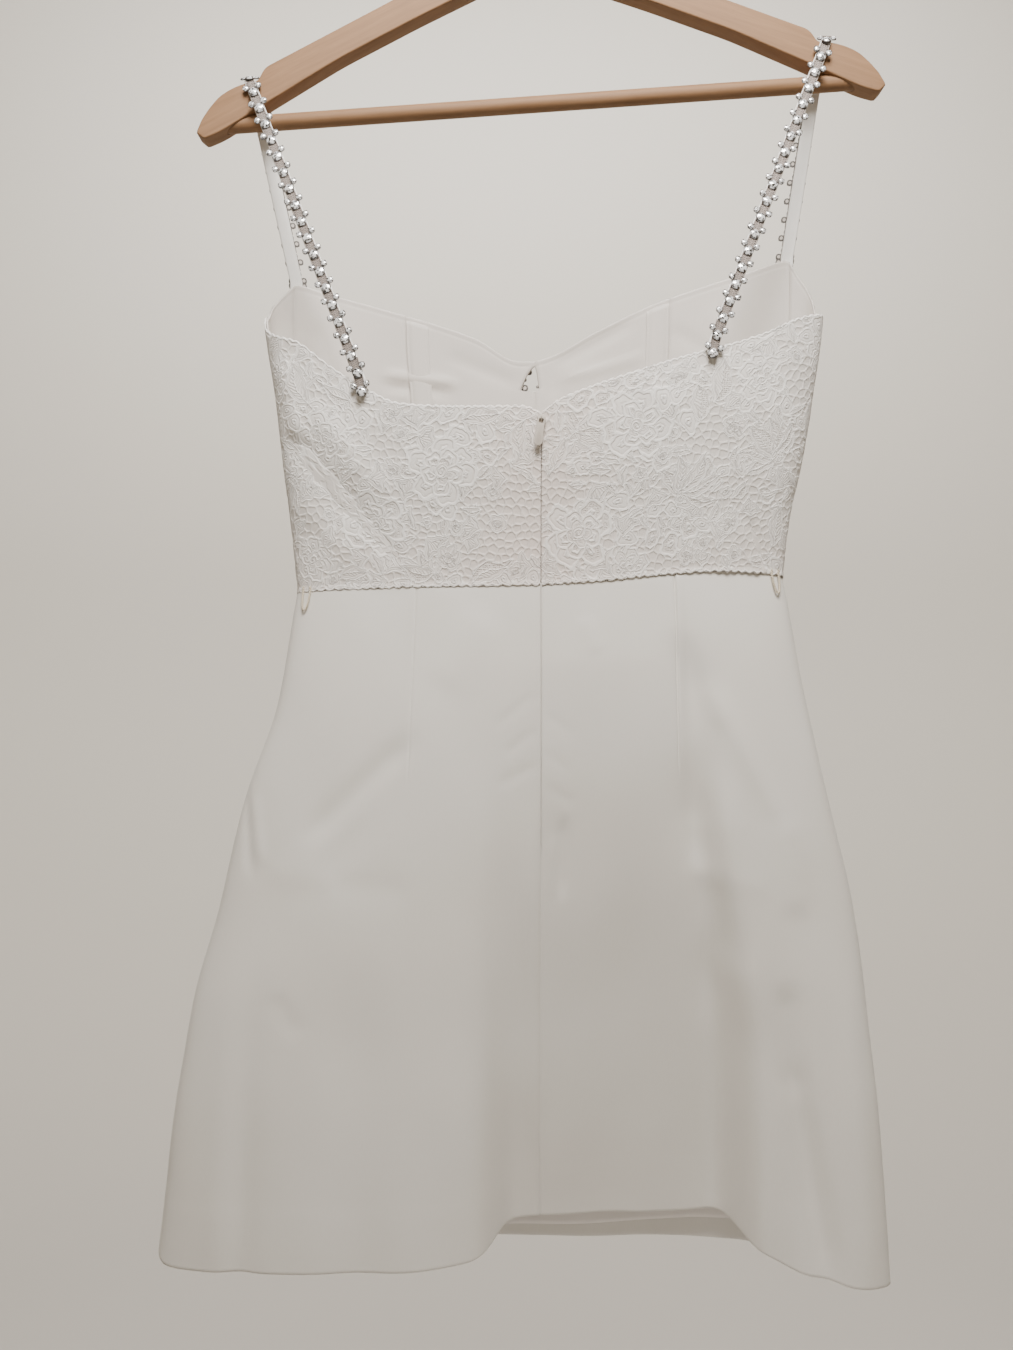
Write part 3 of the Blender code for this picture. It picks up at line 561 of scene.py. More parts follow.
def even_degrees(low, high, count, ring):
    """Places from low to high that lie equal cloth lengths apart along a ring."""
    fine = np.linspace(low, high, 2001)
    points = ring(fine)
    along = lengths_along(points)
    return np.interp(np.linspace(0.0, along[-1], count + 1), along, fine)


def lengths_along(points):
    """Distance along a line of points, from its first."""
    return np.concatenate([[0.0], np.cumsum(np.linalg.norm(np.diff(points, axis=0), axis=1))])


def at_lengths(places, along, points):
    """Points that lie some distances along a line whose own points lie at the lengths along."""
    columns = [np.interp(places, along, points[:, axis]) for axis in range(points.shape[1])]
    return np.stack(columns, axis=-1)


def resampled(line, count, closed=False):
    """A line, or a closed outline, with a number of points at equal distances."""
    line = np.array(list(line) + [line[0]] if closed else line, float)
    along = lengths_along(line)
    return at_lengths(np.linspace(0.0, along[-1], count, endpoint=not closed), along, line)


def hem_ring(degrees):
    """The skirt's ring that spaces its columns."""
    return skirt_point(degrees, 1.0)


def unit(vectors):
    """The same directions, each one long."""
    return vectors / np.maximum(np.linalg.norm(vectors, axis=-1, keepdims=True), 1e-9)


def outward(grid, side):
    """Unit normals of a grid whose columns go round by degrees, or the other way on the left."""
    return side * unit(np.cross(np.gradient(grid, axis=1), np.gradient(grid, axis=0)))


RINGS = {}
for ring_side in (-1, 1):
    ring_degrees = ring_side * np.linspace(0.0, 180.0, 4001)
    RINGS[ring_side] = (lengths_along(bodice_point(ring_degrees, -400.0)), ring_degrees)


def degrees_at(side, along):
    """Degrees of a place some cloth length from the centre front."""
    lengths, places = RINGS[side]
    return np.interp(along, lengths, places)


def along_at(side, degrees):
    """Cloth length of a place from the centre front."""
    lengths, places = RINGS[side]
    return float(np.interp(abs(degrees), np.abs(places), lengths))


# --------------------------------------------------------------------------------- mesh building
def build(name, points, faces, finish, flat=None, thread=None, sharp=None):
    """An object from points in millimetres; edges over the sharp angle, in degrees, stay crisp."""
    points = np.asarray(points, float)
    mesh = bpy.data.meshes.new(name)
    mesh.from_pydata((points * MM).tolist(), [], faces)
    mesh.update()
    corners = np.zeros(len(mesh.loops), int)
    mesh.loops.foreach_get("vertex_index", corners)
    if flat is None:
        flat = points[:, [0, 2]]
    layer = mesh.uv_layers.new(name="cloth")
    layer.data.foreach_set("uv", (np.asarray(flat, float)[corners] * MM).ravel())
    if thread is not None:
        attribute = mesh.color_attributes.new("thread", "FLOAT_COLOR", "POINT")
        attribute.data.foreach_set("color", np.asarray(thread, float).ravel())
    if sharp != 0:
        mesh.shade_smooth()
    if sharp:
        mesh.set_sharp_from_angle(angle=math.radians(sharp))
    mesh.materials.append(finish)
    made = bpy.data.objects.new(f"{name}_visual", mesh)
    bpy.context.scene.collection.objects.link(made)
    return made


def seated(piece, slot, *nodes, body="dress"):
    """Puts a piece on its body and hides the solids that it stands for; the slot is not used."""
    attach(piece, body)
    if nodes:
        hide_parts(*nodes)


def border(rows, columns):
    """Indices round a grid's edge, starting along its first row."""
    loop = list(range(columns))
    loop += [row * columns + columns - 1 for row in range(1, rows)]
    loop += [(rows - 1) * columns + column for column in range(columns - 2, -1, -1)]
    loop += [row * columns for row in range(rows - 2, 0, -1)]
    return np.array(loop)


def quads_of(rows, columns, first=0):
    """The faces of a grid of points."""
    corner = (np.arange(rows - 1)[:, None] * columns + np.arange(columns - 1)).ravel() + first
    return np.stack([corner, corner + 1, corner + columns + 1, corner + columns], axis=1)


def cloth(name, face, back, flat, finish, coarse=1, thread=None):
    """A closed thin piece: its face, a rounded rim, and a back that may have fewer points."""
    rows, columns = face.shape[:2]
    away = np.zeros_like(face)
    away[0] += unit(face[0] - face[1])
    away[-1] += unit(face[-1] - face[-2])
    away[:, 0] += unit(face[:, 0] - face[:, 1])
    away[:, -1] += unit(face[:, -1] - face[:, -2])
    loop = border(rows, columns)
    edge_face = face.reshape(-1, 3)[loop]
    edge_back = back.reshape(-1, 3)[loop]
    bulge = np.linalg.norm(edge_face - edge_back, axis=1, keepdims=True) * 0.45
    rim = (edge_face + edge_back) / 2 + unit(away.reshape(-1, 3)[loop]) * bulge
    back = back[::coarse, ::coarse]
    flat_back = flat[::coarse, ::coarse].reshape(-1, 2)
    few_rows, few_columns = back.shape[:2]
    points = np.concatenate([face.reshape(-1, 3), rim, back.reshape(-1, 3)]) + NECK_MOVE
    flats = np.concatenate([flat.reshape(-1, 2), flat.reshape(-1, 2)[loop], flat_back])
    count = rows * columns
    total = len(loop)
    low = count + total
    faces = quads_of(rows, columns).tolist()
    faces += quads_of(few_rows, few_columns, low)[:, ::-1].tolist()
    after = np.roll(loop, -1)
    rim_here = count + np.arange(total)
    rim_after = count + (np.arange(total) + 1) % total
    faces += np.stack([after, loop, rim_here, rim_after], axis=1).tolist()
    back_loop = border(few_rows, few_columns) + low
    half = coarse // 2
    for place in range(total // coarse):
        near = int(back_loop[place])
        far = int(back_loop[(place + 1) % len(back_loop)])
        start = place * coarse
        for step in range(coarse):
            here = count + start + step
            following = count + (start + step + 1) % total
            faces.append((following, here, near if step < half else far))
        faces.append((count + start + half, near, far))
    if thread is not None:
        thread = np.concatenate([thread.reshape(-1, 4), thread.reshape(-1, 4)[loop],
                                 thread[::coarse, ::coarse].reshape(-1, 4)])
    faces = turned_out(faces, points)
    return build(name, points, faces, finish, flats, thread)


def turned_out(faces, points):
    """The faces of a closed body, all turned so that they point out of it."""
    firsts = points[[face[0] for face in faces]]
    seconds = points[[face[1] for face in faces]]
    thirds = points[[face[2] for face in faces]]
    lasts = points[[face[-1] for face in faces]]
    volume = np.sum(firsts * np.cross(seconds, thirds)) + np.sum(firsts * np.cross(thirds, lasts))
    if volume < 0:
        return [tuple(reversed(face)) for face in faces]
    return faces


def layered(grid, side, depth, thickness):
    """Face and back of a cloth that lies some depth inside a grid."""
    normals = outward(grid, side)
    return grid - normals * depth, grid - normals * (depth + thickness)


def pulled_back(grid, first, last, top):
    """A grid cut back at three edges; first and last are one number or one for each row."""
    result = grid.copy()
    result[:, 0] += unit(grid[:, 1] - grid[:, 0]) * np.reshape(first, (-1, 1))
    result[:, -1] += unit(grid[:, -2] - grid[:, -1]) * np.reshape(last, (-1, 1))
    result[0] += unit(result[1] - result[0]) * top
    return result


def flat_of(grid):
    """Flat cloth coordinates of a grid: lengths along its middle row and down its columns."""
    across = lengths_along(grid[grid.shape[0] // 2])
    down = grid[..., 2]
    return np.stack([np.broadcast_to(across, down.shape), down], axis=-1)


def stacked(rings, closed=False):
    """Points and faces of a stack of equal rings: open, with both ends filled, or closed on itself."""
    count = len(rings[0])
    faces = []
    for ring in range(len(rings) if closed else len(rings) - 1):
        here = ring * count
        above = (ring + 1) % len(rings) * count
        for side in range(count):
            beside = (side + 1) % count
            faces.append((here + side, here + beside, above + beside, above + side))
    if not closed:
        last = (len(rings) - 1) * count
        faces.append(tuple(reversed(range(count))))
        faces.append(tuple(range(last, last + count)))
    return np.concatenate(rings), faces


def panel(name, outer, inner, flat, finish, slot, coarse=1, thread=None):
    """A cloth piece in place of its solid."""
    piece = cloth(name, outer, inner, flat, finish, coarse, thread)
    seated(piece, slot, name)


def tube_of(points, radius, sides):
    """Points and faces of a round tube with closed ends; the radius may change along it."""
    points = np.asarray(points, float)
    way = unit(np.gradient(points, axis=0))
    radius = np.broadcast_to(np.asarray(radius, float), len(points))
    first = np.array([0.0, 1.0, 0.0]) if abs(way[0][1]) < 0.9 else np.array([1.0, 0.0, 0.0])
    rings = []
    for place, ahead, reach in zip(points, way, radius):
        first = first - ahead * np.dot(first, ahead)
        first = first / np.linalg.norm(first)
        second = np.cross(ahead, first)
        turn = np.linspace(0, 2 * np.pi, sides, endpoint=False)[:, None]
        rings.append(place + reach * (np.cos(turn) * first + np.sin(turn) * second))
    return stacked(rings)


def joined(parts):
    """Several sets of points and faces as one."""
    points = []
    faces = []
    count = 0
    for corners, sides in parts:
        points.append(corners)
        faces += [tuple(index + count for index in side) for side in sides]
        count += len(corners)
    return np.concatenate(points), faces


# ------------------------------------------------------------------------------------- materials
def srgb(red, green, blue):
    """A display colour as a linear one."""
    shares = [value / 255 for value in (red, green, blue)]
    return tuple(v / 12.92 if v <= 0.04045 else ((v + 0.055) / 1.055) ** 2.4 for v in shares)


class Finish:
    """A node material, with short ways to add to it."""

    def __init__(self, name, roughness, metallic=0.0, **constants):
        self.material = bpy.data.materials.new(name)
        self.material.use_nodes = True
        self.tree = self.material.node_tree
        self.shader = self.tree.nodes["Principled BSDF"]
        self.shader.inputs["Roughness"].default_value = roughness
        self.shader.inputs["Metallic"].default_value = metallic
        for key, value in constants.items():
            self.shader.inputs[key.replace("_", " ")].default_value = value

    def add(self, kind, links=(), **values):
        """A node; links gives input names and the sockets that feed them."""
        node = self.tree.nodes.new("ShaderNode" + kind)
        for key, value in values.items():
            if hasattr(node, key):
                setattr(node, key, value)
            else:
                node.inputs[key.replace("_", " ")].default_value = value
        for socket, source in dict(links).items():
            self.tree.links.new(source, node.inputs[socket])
        return node

    def cloth_places(self, scale=(1, 1, 1)):
        """The cloth's own flat coordinates, in metres times a scale."""
        place = self.add("UVMap", uv_map="cloth")
        return self.add("Mapping", {"Vector": place.outputs[0]}, Scale=scale).outputs[0]

    def body_places(self, scale=(1, 1, 1)):
        """The object's coordinates, in metres times a scale."""
        place = self.add("TexCoord")
        return self.add("Mapping", {"Vector": place.outputs["Object"]}, Scale=scale).outputs[0]

    def noise(self, places, scale, detail=2.0, roughness=0.5):
        """Noise between 0 and 1."""
        node = self.add("TexNoise", {"Vector": places}, Scale=scale, Detail=detail, Roughness=roughness)
        return node.outputs["Fac"]

    def math(self, operation, first, second):
        """One sum of two sockets or numbers."""
        node = self.add("Math", operation=operation)
        for index, value in enumerate((first, second)):
            if isinstance(value, (int, float)):
                node.inputs[index].default_value = value
            else:
                self.tree.links.new(value, node.inputs[index])
        return node.outputs[0]

    def mix(self, share, first, second):
        """A colour between two; the share and both colours may be sockets."""
        node = self.add("Mix", data_type="RGBA")
        for index, value in ((0, share), (6, first), (7, second)):
            if isinstance(value, tuple):
                node.inputs[index].default_value = (*value, 1.0)
            elif isinstance(value, float):
                node.inputs[index].default_value = value
            else:
                self.tree.links.new(value, node.inputs[index])
        return node.outputs[2]

    def ramp(self, value, low, high):
        """Spreads low..high over 0..1."""
        node = self.add("MapRange", {"Value": value})
        node.inputs["From Min"].default_value = low
        node.inputs["From Max"].default_value = high
        return node.outputs[0]

    def bump(self, height, strength, distance):
        """Fine relief, in metres."""
        node = self.add("Bump", {"Height": height}, Strength=strength, Distance=distance)
        self.tree.links.new(node.outputs[0], self.shader.inputs["Normal"])

    def colour(self, socket):
        """Links the base colour."""
        self.tree.links.new(socket, self.shader.inputs["Base Color"])

    def rough(self, socket):
        """Links the roughness."""
        self.tree.links.new(socket, self.shader.inputs["Roughness"])


def woven(name, light, dark, roughness, pitch, strength, **constants):
    """Plain cloth: fine threads both ways, with a slow change of tone."""
    finish = Finish(name, roughness, **constants)
    flat = finish.cloth_places()
    waves = []
    for turn in ("X", "Y"):
        node = finish.add("TexWave", {"Vector": flat}, bands_direction=turn, Scale=0.314 / pitch)
        node.inputs["Distortion"].default_value = 0.6
        node.inputs["Detail"].default_value = 1.0
        waves.append(node.outputs["Fac"])
    weave = finish.math("MULTIPLY", waves[0], waves[1])
    slub = finish.noise(finish.cloth_places((1, 0.25, 1)), 900.0, 3.0)
    crepe = finish.noise(flat, 1600.0, 3.0, 0.6)
    height = finish.math("ADD", finish.math("MULTIPLY", weave, 0.4), finish.math("MULTIPLY", crepe, 0.6))
    finish.bump(height, strength, 0.0003)
    slow = finish.noise(flat, 9.0, 3.0)
    tone = finish.math("ADD", finish.math("MULTIPLY", slow, 0.75), finish.math("MULTIPLY", slub, 0.25))
    finish.colour(finish.mix(finish.ramp(tone, 0.3, 0.7), dark, light))
    return finish.material


RIB_PITCH = 1.9
NET_PITCH = 1.3


def lace_finish():
    """Lace: bright threads, ribbed or netted, over a nude backing that shows in the holes, between the ribs
    and in the ground; the backing is painted darker there, as painted shade in these gaps.
    """
    finish = Finish("lace", 0.82, Sheen_Weight=0.12, Sheen_Roughness=0.5)
    flat = finish.cloth_places()
    attribute = finish.add("Attribute", attribute_name="thread")
    parts = finish.add("SeparateColor", {"Color": attribute.outputs["Color"]})
    line, blush = parts.outputs[0], parts.outputs[1]
    kind = attribute.outputs["Alpha"]
    thread = finish.ramp(line, 0.24, 0.10)
    net = finish.ramp(kind, 0.7, 0.95)
    solid = finish.ramp(kind, 0.3, 0.05)
    ground = finish.math("SUBTRACT", finish.math("SUBTRACT", 1.0, net), solid)
    turns = finish.math("MULTIPLY", parts.outputs[2], 200 * math.pi / RIB_PITCH)
    ribs = finish.math("MULTIPLY", finish.ramp(finish.math("SINE", turns, 0.0), -0.5, 0.9), solid)
    cells = finish.add("TexVoronoi", {"Vector": flat}, Scale=1000 / NET_PITCH, Randomness=0.35)
    hole = finish.math("MULTIPLY", finish.ramp(cells.outputs["Distance"], 0.5, 0.25), net)
    # Where the backing shows: net holes, grooves between ribs and the ground; its darkness there is painted
    # shade over the nude cloth's own colour.
    gap = finish.math("ADD", finish.math("MULTIPLY", hole, 0.5), finish.math("MULTIPLY", ribs, 0.3))
    gap = finish.math("ADD", gap, finish.math("MULTIPLY", ground, 0.32))
    bar = finish.math("SUBTRACT", 1.0, finish.math("MULTIPLY", ground, 0.4))
    cover = finish.math("SUBTRACT", 0.76, gap)
    cover = finish.math("ADD", cover, finish.math("MULTIPLY", thread, finish.math("SUBTRACT", bar, cover)))
    # The backing's colour: the nude cloth, painted darker as the shade it lies in.
    shaded_backing = finish.mix(blush, srgb(202, 196, 188), srgb(214, 195, 184))
    threads = finish.mix(blush, srgb(247, 245, 241), srgb(247, 240, 234))
    finish.colour(finish.mix(cover, shaded_backing, threads))
    fuzz = finish.noise(flat, 2600.0, 2.0, 0.6)
    height = finish.math("SUBTRACT", finish.math("MULTIPLY", fuzz, 0.3), finish.math("MULTIPLY", ribs, 0.5))
    height = finish.math("SUBTRACT", height, hole)
    height = finish.math("ADD", height, finish.math("MULTIPLY", thread, bar))
    finish.bump(height, 0.75, 0.0005)
    return finish.material


def wood_finish():
    """Pale beech under a satin lacquer, with fine flecks and long grain."""
    finish = Finish("wood", 0.68)
    places = finish.cloth_places((1, 14, 1))
    grain = finish.noise(places, 22.0, 5.0, 0.62)
    fleck = finish.noise(finish.cloth_places((1, 6, 1)), 260.0, 2.0, 0.5)
    tone = finish.mix(finish.ramp(grain, 0.32, 0.68), srgb(128, 94, 62), srgb(144, 109, 77))
    mark = finish.math("MULTIPLY", finish.ramp(fleck, 0.60, 0.78), 0.3)
    finish.colour(finish.mix(mark, tone, srgb(110, 77, 51)))
    finish.rough(finish.math("ADD", finish.math("MULTIPLY", grain, 0.15), 0.6))
    finish.bump(finish.math("ADD", grain, finish.math("MULTIPLY", fleck, 0.4)), 0.08, 0.0003)
    return finish.material


def facet_finish():
    """Cut stones: each facet shows a painted reflection, a fixed bright, grey or dark tone, with painted
    sparkle from noise, and bright facets glow as a painted glint.
    """
    # Emission Strength makes the stones glow though they are no lamp: painted glint.
    finish = Finish("crystal", 0.12, metallic=0.4, IOR=1.7, Emission_Strength=0.28)
    attribute = finish.add("Attribute", attribute_name="thread")
    sparkle = finish.noise(finish.body_places(), 900.0, 1.0)
    dimmed = finish.mix(0.2, attribute.outputs["Color"], (0.3, 0.3, 0.3))
    facets = finish.mix(finish.ramp(sparkle, 0.35, 0.65), dimmed, attribute.outputs["Color"])
    finish.colour(facets)
    glint = finish.mix(attribute.outputs["Alpha"], (0.0, 0.0, 0.0), attribute.outputs["Color"])
    finish.tree.links.new(glint, finish.shader.inputs["Emission Color"])
    finish.rough(finish.math("SUBTRACT", 0.6, finish.math("MULTIPLY", attribute.outputs["Alpha"], 0.5)))
    return finish.material


def metal_finish(name, light, dark, roughness, metallic=1.0):
    """Plain metal with faint handling marks."""
    finish = Finish(name, roughness, metallic=metallic)
    cloud = finish.noise(finish.body_places(), 160.0, 3.0, 0.6)
    finish.colour(finish.mix(finish.ramp(cloud, 0.35, 0.65), dark, light))
    finish.rough(finish.math("ADD", finish.math("MULTIPLY", cloud, 0.16), roughness - 0.06))
    return finish.material


def thread_finish():
    """Twisted cotton thread."""
    finish = Finish("thread", 0.8, Sheen_Weight=0.2)
    fuzz = finish.noise(finish.body_places(), 2500.0, 2.0)
    finish.colour(finish.mix(fuzz, srgb(204, 188, 160), srgb(232, 222, 204)))
    finish.bump(fuzz, 0.4, 0.0003)
    return finish.material


SATIN = woven("satin", srgb(232, 228, 221), srgb(226, 221, 213), 0.62, 0.00045, 0.22,
              Sheen_Weight=0.15, Sheen_Roughness=0.4)
# One lining cloth in two tones: the bodice's is painted darker, as painted shade against the strong top
# lamp, and the skirt's lighter, as painted light inside the shaded hem.
DARKENED_LINING = woven("lining", srgb(214, 207, 200), srgb(207, 200, 192), 0.6, 0.0004, 0.12)
BRIGHTENED_SKIRT_LINING = woven("skirt_lining", srgb(243, 237, 232), srgb(238, 232, 226), 0.6, 0.0004, 0.12)
RIBBON = woven("ribbon", srgb(238, 236, 232), srgb(231, 228, 223), 0.38, 0.0005, 0.12)
TAPE = woven("zip_cloth", srgb(214, 207, 198), srgb(202, 194, 184), 0.75, 0.0009, 0.5)
LACE = lace_finish()
WOOD = wood_finish()
CRYSTAL = facet_finish()
STEEL = metal_finish("steel", (0.70, 0.69, 0.67), (0.55, 0.54, 0.52), 0.18)
ZIP_METAL = metal_finish("zip_metal", srgb(206, 197, 187), srgb(194, 184, 173), 0.5, 0.0)
THREAD = thread_finish()


# -------------------------------------------------------------------------------- relief of lace
CELL = 0.3
GROUND_PITCH = 5.8
CORD = 0.8
CORD_RISE = 0.42
LINE_REACH = 2.0
GROUND_KIND = 0.5
PUFF = 1.8
ECHO = 2.6
HEART_PITCH = 1.9
FILL_PITCH = 11.0
Relief = namedtuple("Relief", "rise line phase kind")


def lump(distance):
    """The round back of a thread, from 1 on its middle to 0 at its edge."""
    return np.sqrt(np.maximum(1 - distance * distance, 0.0))


def scatter(first, second, salt):
    """A steady pseudo-random number from -1 to 1 for a pair of numbers."""
    value = np.sin(first * 12.9898 + second * 78.233 + salt * 37.719) * 43758.5453
    return 2 * (value - np.floor(value)) - 1


class Lace:
    """Relief of one lace panel on a fine flat raster: cloth length across, height up."""

    def __init__(self, width, low, high, salt):
        columns = int(width / CELL) + 2
        rows = int((high - low) / CELL) + 2
        self.low = low
        self.along, self.height = np.meshgrid(np.arange(columns) * CELL, low + np.arange(rows) * CELL)
        self.rise = np.zeros(self.along.shape)
        self.phase = np.zeros(self.along.shape)
        self.kind = np.full(self.along.shape, GROUND_KIND)
        self.honeycomb(salt)

    def honeycomb(self, salt):
        """The ground: raised bars round uneven six-sided cells."""
        step_up = GROUND_PITCH * 0.866
        drift = 1.4 * np.sin(self.height / 13.0 + salt) + 0.9 * np.sin(self.along / 17.0)
        along = self.along + drift
        height = self.height + 1.3 * np.sin(self.along / 15.0 + 2 * salt)
        row = np.round(height / step_up)
        first = np.full(self.along.shape, 1e3)
        second = first.copy()
        for up in (-1, 0, 1):
            line = row + up
            shift = 0.5 * (line % 2)
            for over in (-1, 0, 1):
                cell = np.round(along / GROUND_PITCH - shift) + over
                x = (cell + shift + 0.34 * scatter(line, cell, salt)) * GROUND_PITCH
                y = (line + 0.34 * scatter(line, cell, salt + 1)) * step_up
                gap = np.hypot(along - x, height - y)
                second = np.minimum(second, np.maximum(first, gap))
                first = np.minimum(first, gap)
        bar = (second - first) / 2
        self.rise = 0.05 + 0.2 * lump(bar / 0.9)
        self.line = np.clip(bar - 0.15, 0.0, LINE_REACH)

    def window(self, motif, reach):
        """The part of the raster round a motif, with coordinates turned with the motif."""
        column = motif.along / CELL
        row = (motif.height - self.low) / CELL
        span = reach / CELL
        view = (slice(max(int(row - span), 0), max(int(row + span) + 1, 0)),
                slice(max(int(column - span), 0), max(int(column + span) + 1, 0)))
        here, level = self.along[view], self.height[view]
        salt = 0.7 * motif.along + 0.4 * motif.height
        across = here - motif.along + 0.7 * np.sin(level / 3.4 + salt)
        across = across + 0.3 * np.sin(level / 1.1 + here / 2.3)
        up = level - motif.height + 0.7 * np.sin(here / 3.7 - salt)
        up = up + 0.3 * np.sin(here / 1.3 - level / 2.9)
        turn = math.radians(motif.turn)
        u = across * math.cos(turn) + up * math.sin(turn)
        v = up * math.cos(turn) - across * math.sin(turn)
        return view, u, v

    def shape(self, view, edge, ribs, phase, outlines):
        """Covers a shape, where its edge field is below 0, with ribs or open net and raised outlines."""
        if min(edge.shape) < 3:
            return
        slope = np.hypot(*np.gradient(edge, CELL))
        inside = -edge / np.maximum(slope, 0.3)
        within = inside > 0
        ribs = np.broadcast_to(ribs, edge.shape)
        puff = 1 - np.exp(-np.maximum(inside, 0.0) / PUFF)
        self.rise[view] = np.where(within, np.where(ribs, 0.1 + 0.4 * puff, 0.08 + 0.16 * puff),
                                   self.rise[view])
        self.line[view] = np.where(within, LINE_REACH, self.line[view])
        self.kind[view] = np.where(within, np.where(ribs, 0.0, 1.0), self.kind[view])
        phase = np.where(inside < ECHO, inside, phase)
        self.phase[view] = np.where(within, phase, self.phase[view])
        for depth in outlines:
            self.cord(view, inside - depth)

    def cord(self, view, distance, rise=CORD_RISE):
        """A raised thread where the distance is near 0."""
        thread = lump(distance / CORD)
        self.rise[view] = np.maximum(self.rise[view], rise * thread)
        self.line[view] = np.minimum(self.line[view], np.abs(distance))
        self.kind[view] = np.where(thread > 0, 0.0, self.kind[view])

    def petal(self, motif, wide=0.85, outlines=(0.35, 2.6)):
        """A petal that opens away from its foot to a softly lobed end."""
        view, u, v = self.window(motif, motif.size * 0.75)
        half = motif.size / 2
        swell = np.maximum(0.80 + 0.30 * u / half, 0.3)
        lobes = 1 - 0.05 * np.cos(6 * np.arctan2(v, u)) * soft_step(u / half + 0.4)
        edge = np.hypot(u / half, v / (half * wide * swell)) - lobes
        choice = scatter(motif.along, motif.height, motif.turn)
        phase = u if choice > 0.4 else v / swell
        self.shape(view, edge, choice > -0.35, phase, outlines)

    def rose(self, motif):
        """Rings of overlapping petals round a coiled heart."""
        salt = motif.along * 3 + motif.height
        rings = ((6, 0.62, 0.84, (0.35, 2.6)), (5, 0.36, 0.66, (0.35, 2.0)), (4, 0.2, 0.42, (0.35,)))
        for ring, (count, share, length, outlines) in enumerate(rings):
            for number in range(count):
                turn = motif.turn + 360 * (number + 0.5 * ring) / count + 16 * scatter(number, ring, salt)
                away = motif.size * share
                way = math.radians(turn)
                self.petal(Motif("petal", motif.along + away * math.cos(way),
                                 motif.height + away * math.sin(way), motif.size * length, turn),
                           1.05, outlines)
        view, u, v = self.window(motif, motif.size * 0.3)
        out = np.hypot(u, v)
        self.shape(view, out - motif.size * 0.21, True, u, (0.35,))
        coil = out / HEART_PITCH - np.arctan2(v, u) / (2 * math.pi)
        thread = np.where(out < motif.size * 0.2, (coil - np.round(coil)) * HEART_PITCH, 9.0)
        self.cord(view, thread, 0.5)

    def curl(self, motif):
        """Two or three nested arcs of thread over a ribbed fan."""
        view, u, v = self.window(motif, motif.size * 0.7)
        half = motif.size / 2
        out = np.hypot(u + half * 0.8, v)
        angle = np.arctan2(v, u + half * 0.8)
        edge = np.maximum(out - motif.size * (0.86 + 0.05 * np.cos(9 * angle)), (np.abs(angle) - 0.8) * out)
        self.shape(view, edge, True, angle * motif.size * 0.7, (0.35, 2.6))

    def leaf(self, motif, slim=0.23):
        """A pointed leaf with a midrib; one half may be open net."""
        view, u, v = self.window(motif, motif.size * 0.6)
        share = np.clip(u / motif.size + 0.5, 0.0, 1.0)
        bend = v - 0.10 * motif.size * (share - 0.5) ** 2 * 4
        half = motif.size * slim * np.sin(math.pi * share ** 0.85) ** 0.9
        beyond = np.maximum(np.abs(u) - motif.size / 2, 0.0)
        edge = np.abs(bend) - half + beyond * 2
        open_half = scatter(motif.along, motif.height, 3) > 0.1
        ribs = np.logical_or(bend > 0, not open_half)
        self.shape(view, edge, ribs, np.abs(bend) - u * 0.8, (0.5,))
        rib = np.where((beyond == 0) & (half > 0.8), np.abs(bend), 9.0)
        self.cord(view, rib, 0.5)

    def spray(self, motif):
        """Broad leaves that fan out from one stem."""
        view, u, v = self.window(motif, motif.size * 0.8)
        stem = v + 0.2 * u * u / motif.size
        self.cord(view, np.where(u < 1.0, stem, 9.0))
        turn = math.radians(motif.turn)
        for step in (-2, 2, -1, 1, 0):
            swing = step * 33.0
            way = turn + math.radians(swing)
            length = motif.size * (0.95 - 0.12 * abs(step))
            reach = length * 0.58
            self.leaf(Motif("leaf", motif.along + reach * math.cos(way),
                            motif.height + reach * math.sin(way), length, motif.turn + swing), 0.19)
        self.blossom(Motif("blossom", motif.along, motif.height, motif.size * 0.12, motif.turn))

    def blossom(self, motif):
        """A small round flower with a ringed centre."""
        view, u, v = self.window(motif, motif.size * 1.2)
        out = np.hypot(u, v)
        angle = np.arctan2(v, u)
        rim = motif.size * (0.78 + 0.22 * np.abs(np.cos(2.5 * angle)) ** 0.7)
        self.shape(view, out - rim, True, angle * motif.size * 0.4, (0.5,))
        self.cord(view, out - motif.size * 0.36)
        self.cord(view, out, 0.6)

    def draw(self, motifs, random):
        """Small filling motifs all over but on bare ground, then the table's own over them."""
        kinds = ("petal", "curl", "leaf", "petal", "curl", "petal", "leaf", "blossom")
        bare = [Motif("ground", *row) for row in motifs["ground"]]
        for row in range(int(self.height.shape[0] * CELL / FILL_PITCH) + 1):
            for column in range(int(self.along[0, -1] / FILL_PITCH) + 1):
                along = (column + 0.5 * (row % 2) + random.uniform(-0.35, 0.35)) * FILL_PITCH
                height = self.low + (row + random.uniform(-0.35, 0.35)) * FILL_PITCH
                kind = kinds[random.integers(len(kinds))]
                size, turn = random.uniform(11, 17), random.uniform(0, 360)
                if any(math.hypot(along - spot.along, height - spot.height) < spot.size for spot in bare):
                    continue
                small = 0.36 if kind == "blossom" else 1.0
                getattr(self, kind)(Motif(kind, along, height, size * small, turn))
        for kind in ("rose", "spray", "leaf", "blossom"):
            for row in motifs[kind]:
                getattr(self, kind)(Motif(kind, *row))

    def at(self, along, height):
        """Relief at places on the cloth."""
        x = np.clip(along / CELL, 0, self.rise.shape[1] - 1.001)
        y = np.clip((height - self.low) / CELL, 0, self.rise.shape[0] - 1.001)
        column = x.astype(int)
        row = y.astype(int)
        over = x - column
        up = y - row
        values = []
        for raster in (self.rise, self.line):
            low = raster[row, column] * (1 - over) + raster[row, column + 1] * over
            high = raster[row + 1, column] * (1 - over) + raster[row + 1, column + 1] * over
            values.append(low * (1 - up) + high * up)
        return Relief(values[0], values[1], self.phase[row, column], self.kind[row, column])


